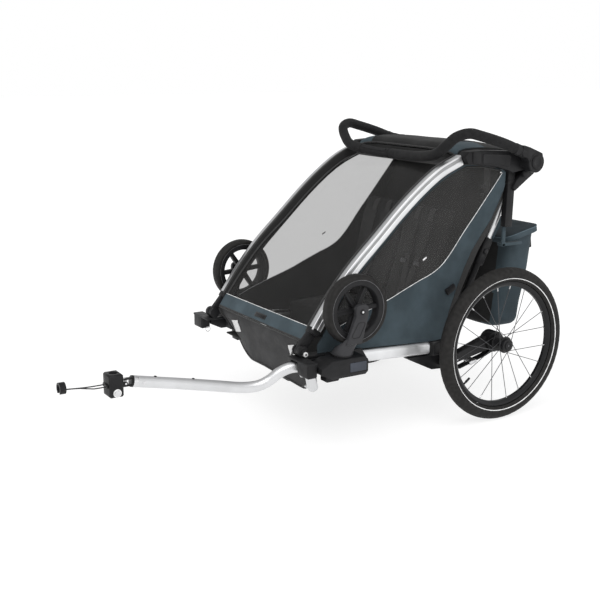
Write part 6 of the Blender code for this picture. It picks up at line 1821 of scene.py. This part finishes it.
class TRAILER_OT_top_pieces(bpy.types.Operator):
    """Make the mouldings at the top and finish the top bar"""
    bl_idname = "trailer.top_pieces"
    bl_label = "Top pieces"
    bl_options = {"REGISTER", "UNDO"}

    def execute(self, context):
        return done(make_top_pieces)


class TRAILER_OT_roof(bpy.types.Operator):
    """Make the roof cloth with its slate corners and the mesh panel behind it"""
    bl_idname = "trailer.roof"
    bl_label = "Roof"
    bl_options = {"REGISTER", "UNDO"}

    def execute(self, context):
        return done(make_roof, make_rear_mesh)


class TRAILER_OT_front_cover(bpy.types.Operator):
    """Make the front window, its binding and the slate band"""
    bl_idname = "trailer.front_cover"
    bl_label = "Front cover"
    bl_options = {"REGISTER", "UNDO"}

    def execute(self, context):
        return done(make_front_cover)


class TRAILER_OT_sides(bpy.types.Operator):
    """Make the side cloths, side windows and piping"""
    bl_idname = "trailer.sides"
    bl_label = "Sides"
    bl_options = {"REGISTER", "UNDO"}

    def execute(self, context):
        return done(make_sides)


class TRAILER_OT_rear_wall(bpy.types.Operator):
    """Make the cloth wall behind the seats"""
    bl_idname = "trailer.rear_wall"
    bl_label = "Rear wall"
    bl_options = {"REGISTER", "UNDO"}

    def execute(self, context):
        return done(make_rear_wall)


class TRAILER_OT_seats(bpy.types.Operator):
    """Make the bench, the backs and the harnesses"""
    bl_idname = "trailer.seats"
    bl_label = "Seats"
    bl_options = {"REGISTER", "UNDO"}

    def execute(self, context):
        return done(make_bench, make_seat_backs)


class TRAILER_OT_nose(bpy.types.Operator):
    """Make the coated nose with its reflectors and cords"""
    bl_idname = "trailer.nose"
    bl_label = "Nose"
    bl_options = {"REGISTER", "UNDO"}

    def execute(self, context):
        return done(make_nose)


class TRAILER_OT_handlebar(bpy.types.Operator):
    """Make the padded bar, its hubs and caps"""
    bl_idname = "trailer.handlebar"
    bl_label = "Handlebar"
    bl_options = {"REGISTER", "UNDO"}

    def execute(self, context):
        return done(make_handlebar)


class TRAILER_OT_rear_frame(bpy.types.Operator):
    """Finish the rear frame and make the left window's strap"""
    bl_idname = "trailer.rear_frame"
    bl_label = "Rear frame"
    bl_options = {"REGISTER", "UNDO"}

    def execute(self, context):
        return done(make_rear_frame)


class TRAILER_OT_stroller_wheels(bpy.types.Operator):
    """Make the flipped stroller wheels and their holders"""
    bl_idname = "trailer.stroller_wheels"
    bl_label = "Stroller wheels"
    bl_options = {"REGISTER", "UNDO"}

    def execute(self, context):
        return done(make_stroller_wheels)


class TRAILER_OT_hitch(bpy.types.Operator):
    """Make the hitch arm and finish the coupler"""
    bl_idname = "trailer.hitch"
    bl_label = "Hitch"
    bl_options = {"REGISTER", "UNDO"}

    def execute(self, context):
        return done(make_hitch)


class TRAILER_OT_bag(bpy.types.Operator):
    """Make the bag, its lid and its buckle"""
    bl_idname = "trailer.bag"
    bl_label = "Cargo bag"
    bl_options = {"REGISTER", "UNDO"}

    def execute(self, context):
        return done(make_bag)


OPERATORS = [TRAILER_OT_studio, TRAILER_OT_rear_wheels, TRAILER_OT_running_gear, TRAILER_OT_front_tubes,
             TRAILER_OT_top_pieces, TRAILER_OT_roof, TRAILER_OT_front_cover, TRAILER_OT_sides,
             TRAILER_OT_rear_wall, TRAILER_OT_seats, TRAILER_OT_nose, TRAILER_OT_handlebar,
             TRAILER_OT_rear_frame, TRAILER_OT_stroller_wheels, TRAILER_OT_hitch, TRAILER_OT_bag]


class TRAILER_PT_parts(bpy.types.Panel):
    """Lists the trailer's pieces, its sizes and its colours"""
    bl_label = "Child bike trailer"
    bl_idname = "TRAILER_PT_parts"
    bl_space_type = "VIEW_3D"
    bl_region_type = "UI"
    bl_category = "Trailer"

    def draw(self, context):
        scene = context.scene
        for maker in OPERATORS:
            self.layout.operator(maker.bl_idname)
        for group in (scene.trailer_sizes, scene.trailer_colours, scene.trailer_studio):
            for key in group.bl_rna.properties.keys():
                if key not in ("rna_type", "name"):
                    self.layout.prop(group, key)


CLASSES = [TrailerSizes, TrailerColours, StudioSettings, *OPERATORS, TRAILER_PT_parts]


def register():
    for item in CLASSES:
        bpy.utils.register_class(item)
    bpy.types.Scene.trailer_sizes = PointerProperty(type=TrailerSizes)
    bpy.types.Scene.trailer_colours = PointerProperty(type=TrailerColours)
    bpy.types.Scene.trailer_studio = PointerProperty(type=StudioSettings)


def unregister():
    del bpy.types.Scene.trailer_studio
    del bpy.types.Scene.trailer_colours
    del bpy.types.Scene.trailer_sizes
    for item in reversed(CLASSES):
        bpy.utils.unregister_class(item)


def main():
    """Register the add-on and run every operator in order."""
    register()
    bpy.ops.trailer.studio()
    bpy.ops.trailer.rear_wheels()
    bpy.ops.trailer.running_gear()
    bpy.ops.trailer.front_tubes()
    bpy.ops.trailer.top_pieces()
    bpy.ops.trailer.roof()
    bpy.ops.trailer.front_cover()
    bpy.ops.trailer.sides()
    bpy.ops.trailer.rear_wall()
    bpy.ops.trailer.seats()
    bpy.ops.trailer.nose()
    bpy.ops.trailer.handlebar()
    bpy.ops.trailer.rear_frame()
    bpy.ops.trailer.stroller_wheels()
    bpy.ops.trailer.hitch()
    bpy.ops.trailer.bag()


if __name__ == "__main__":
    main()
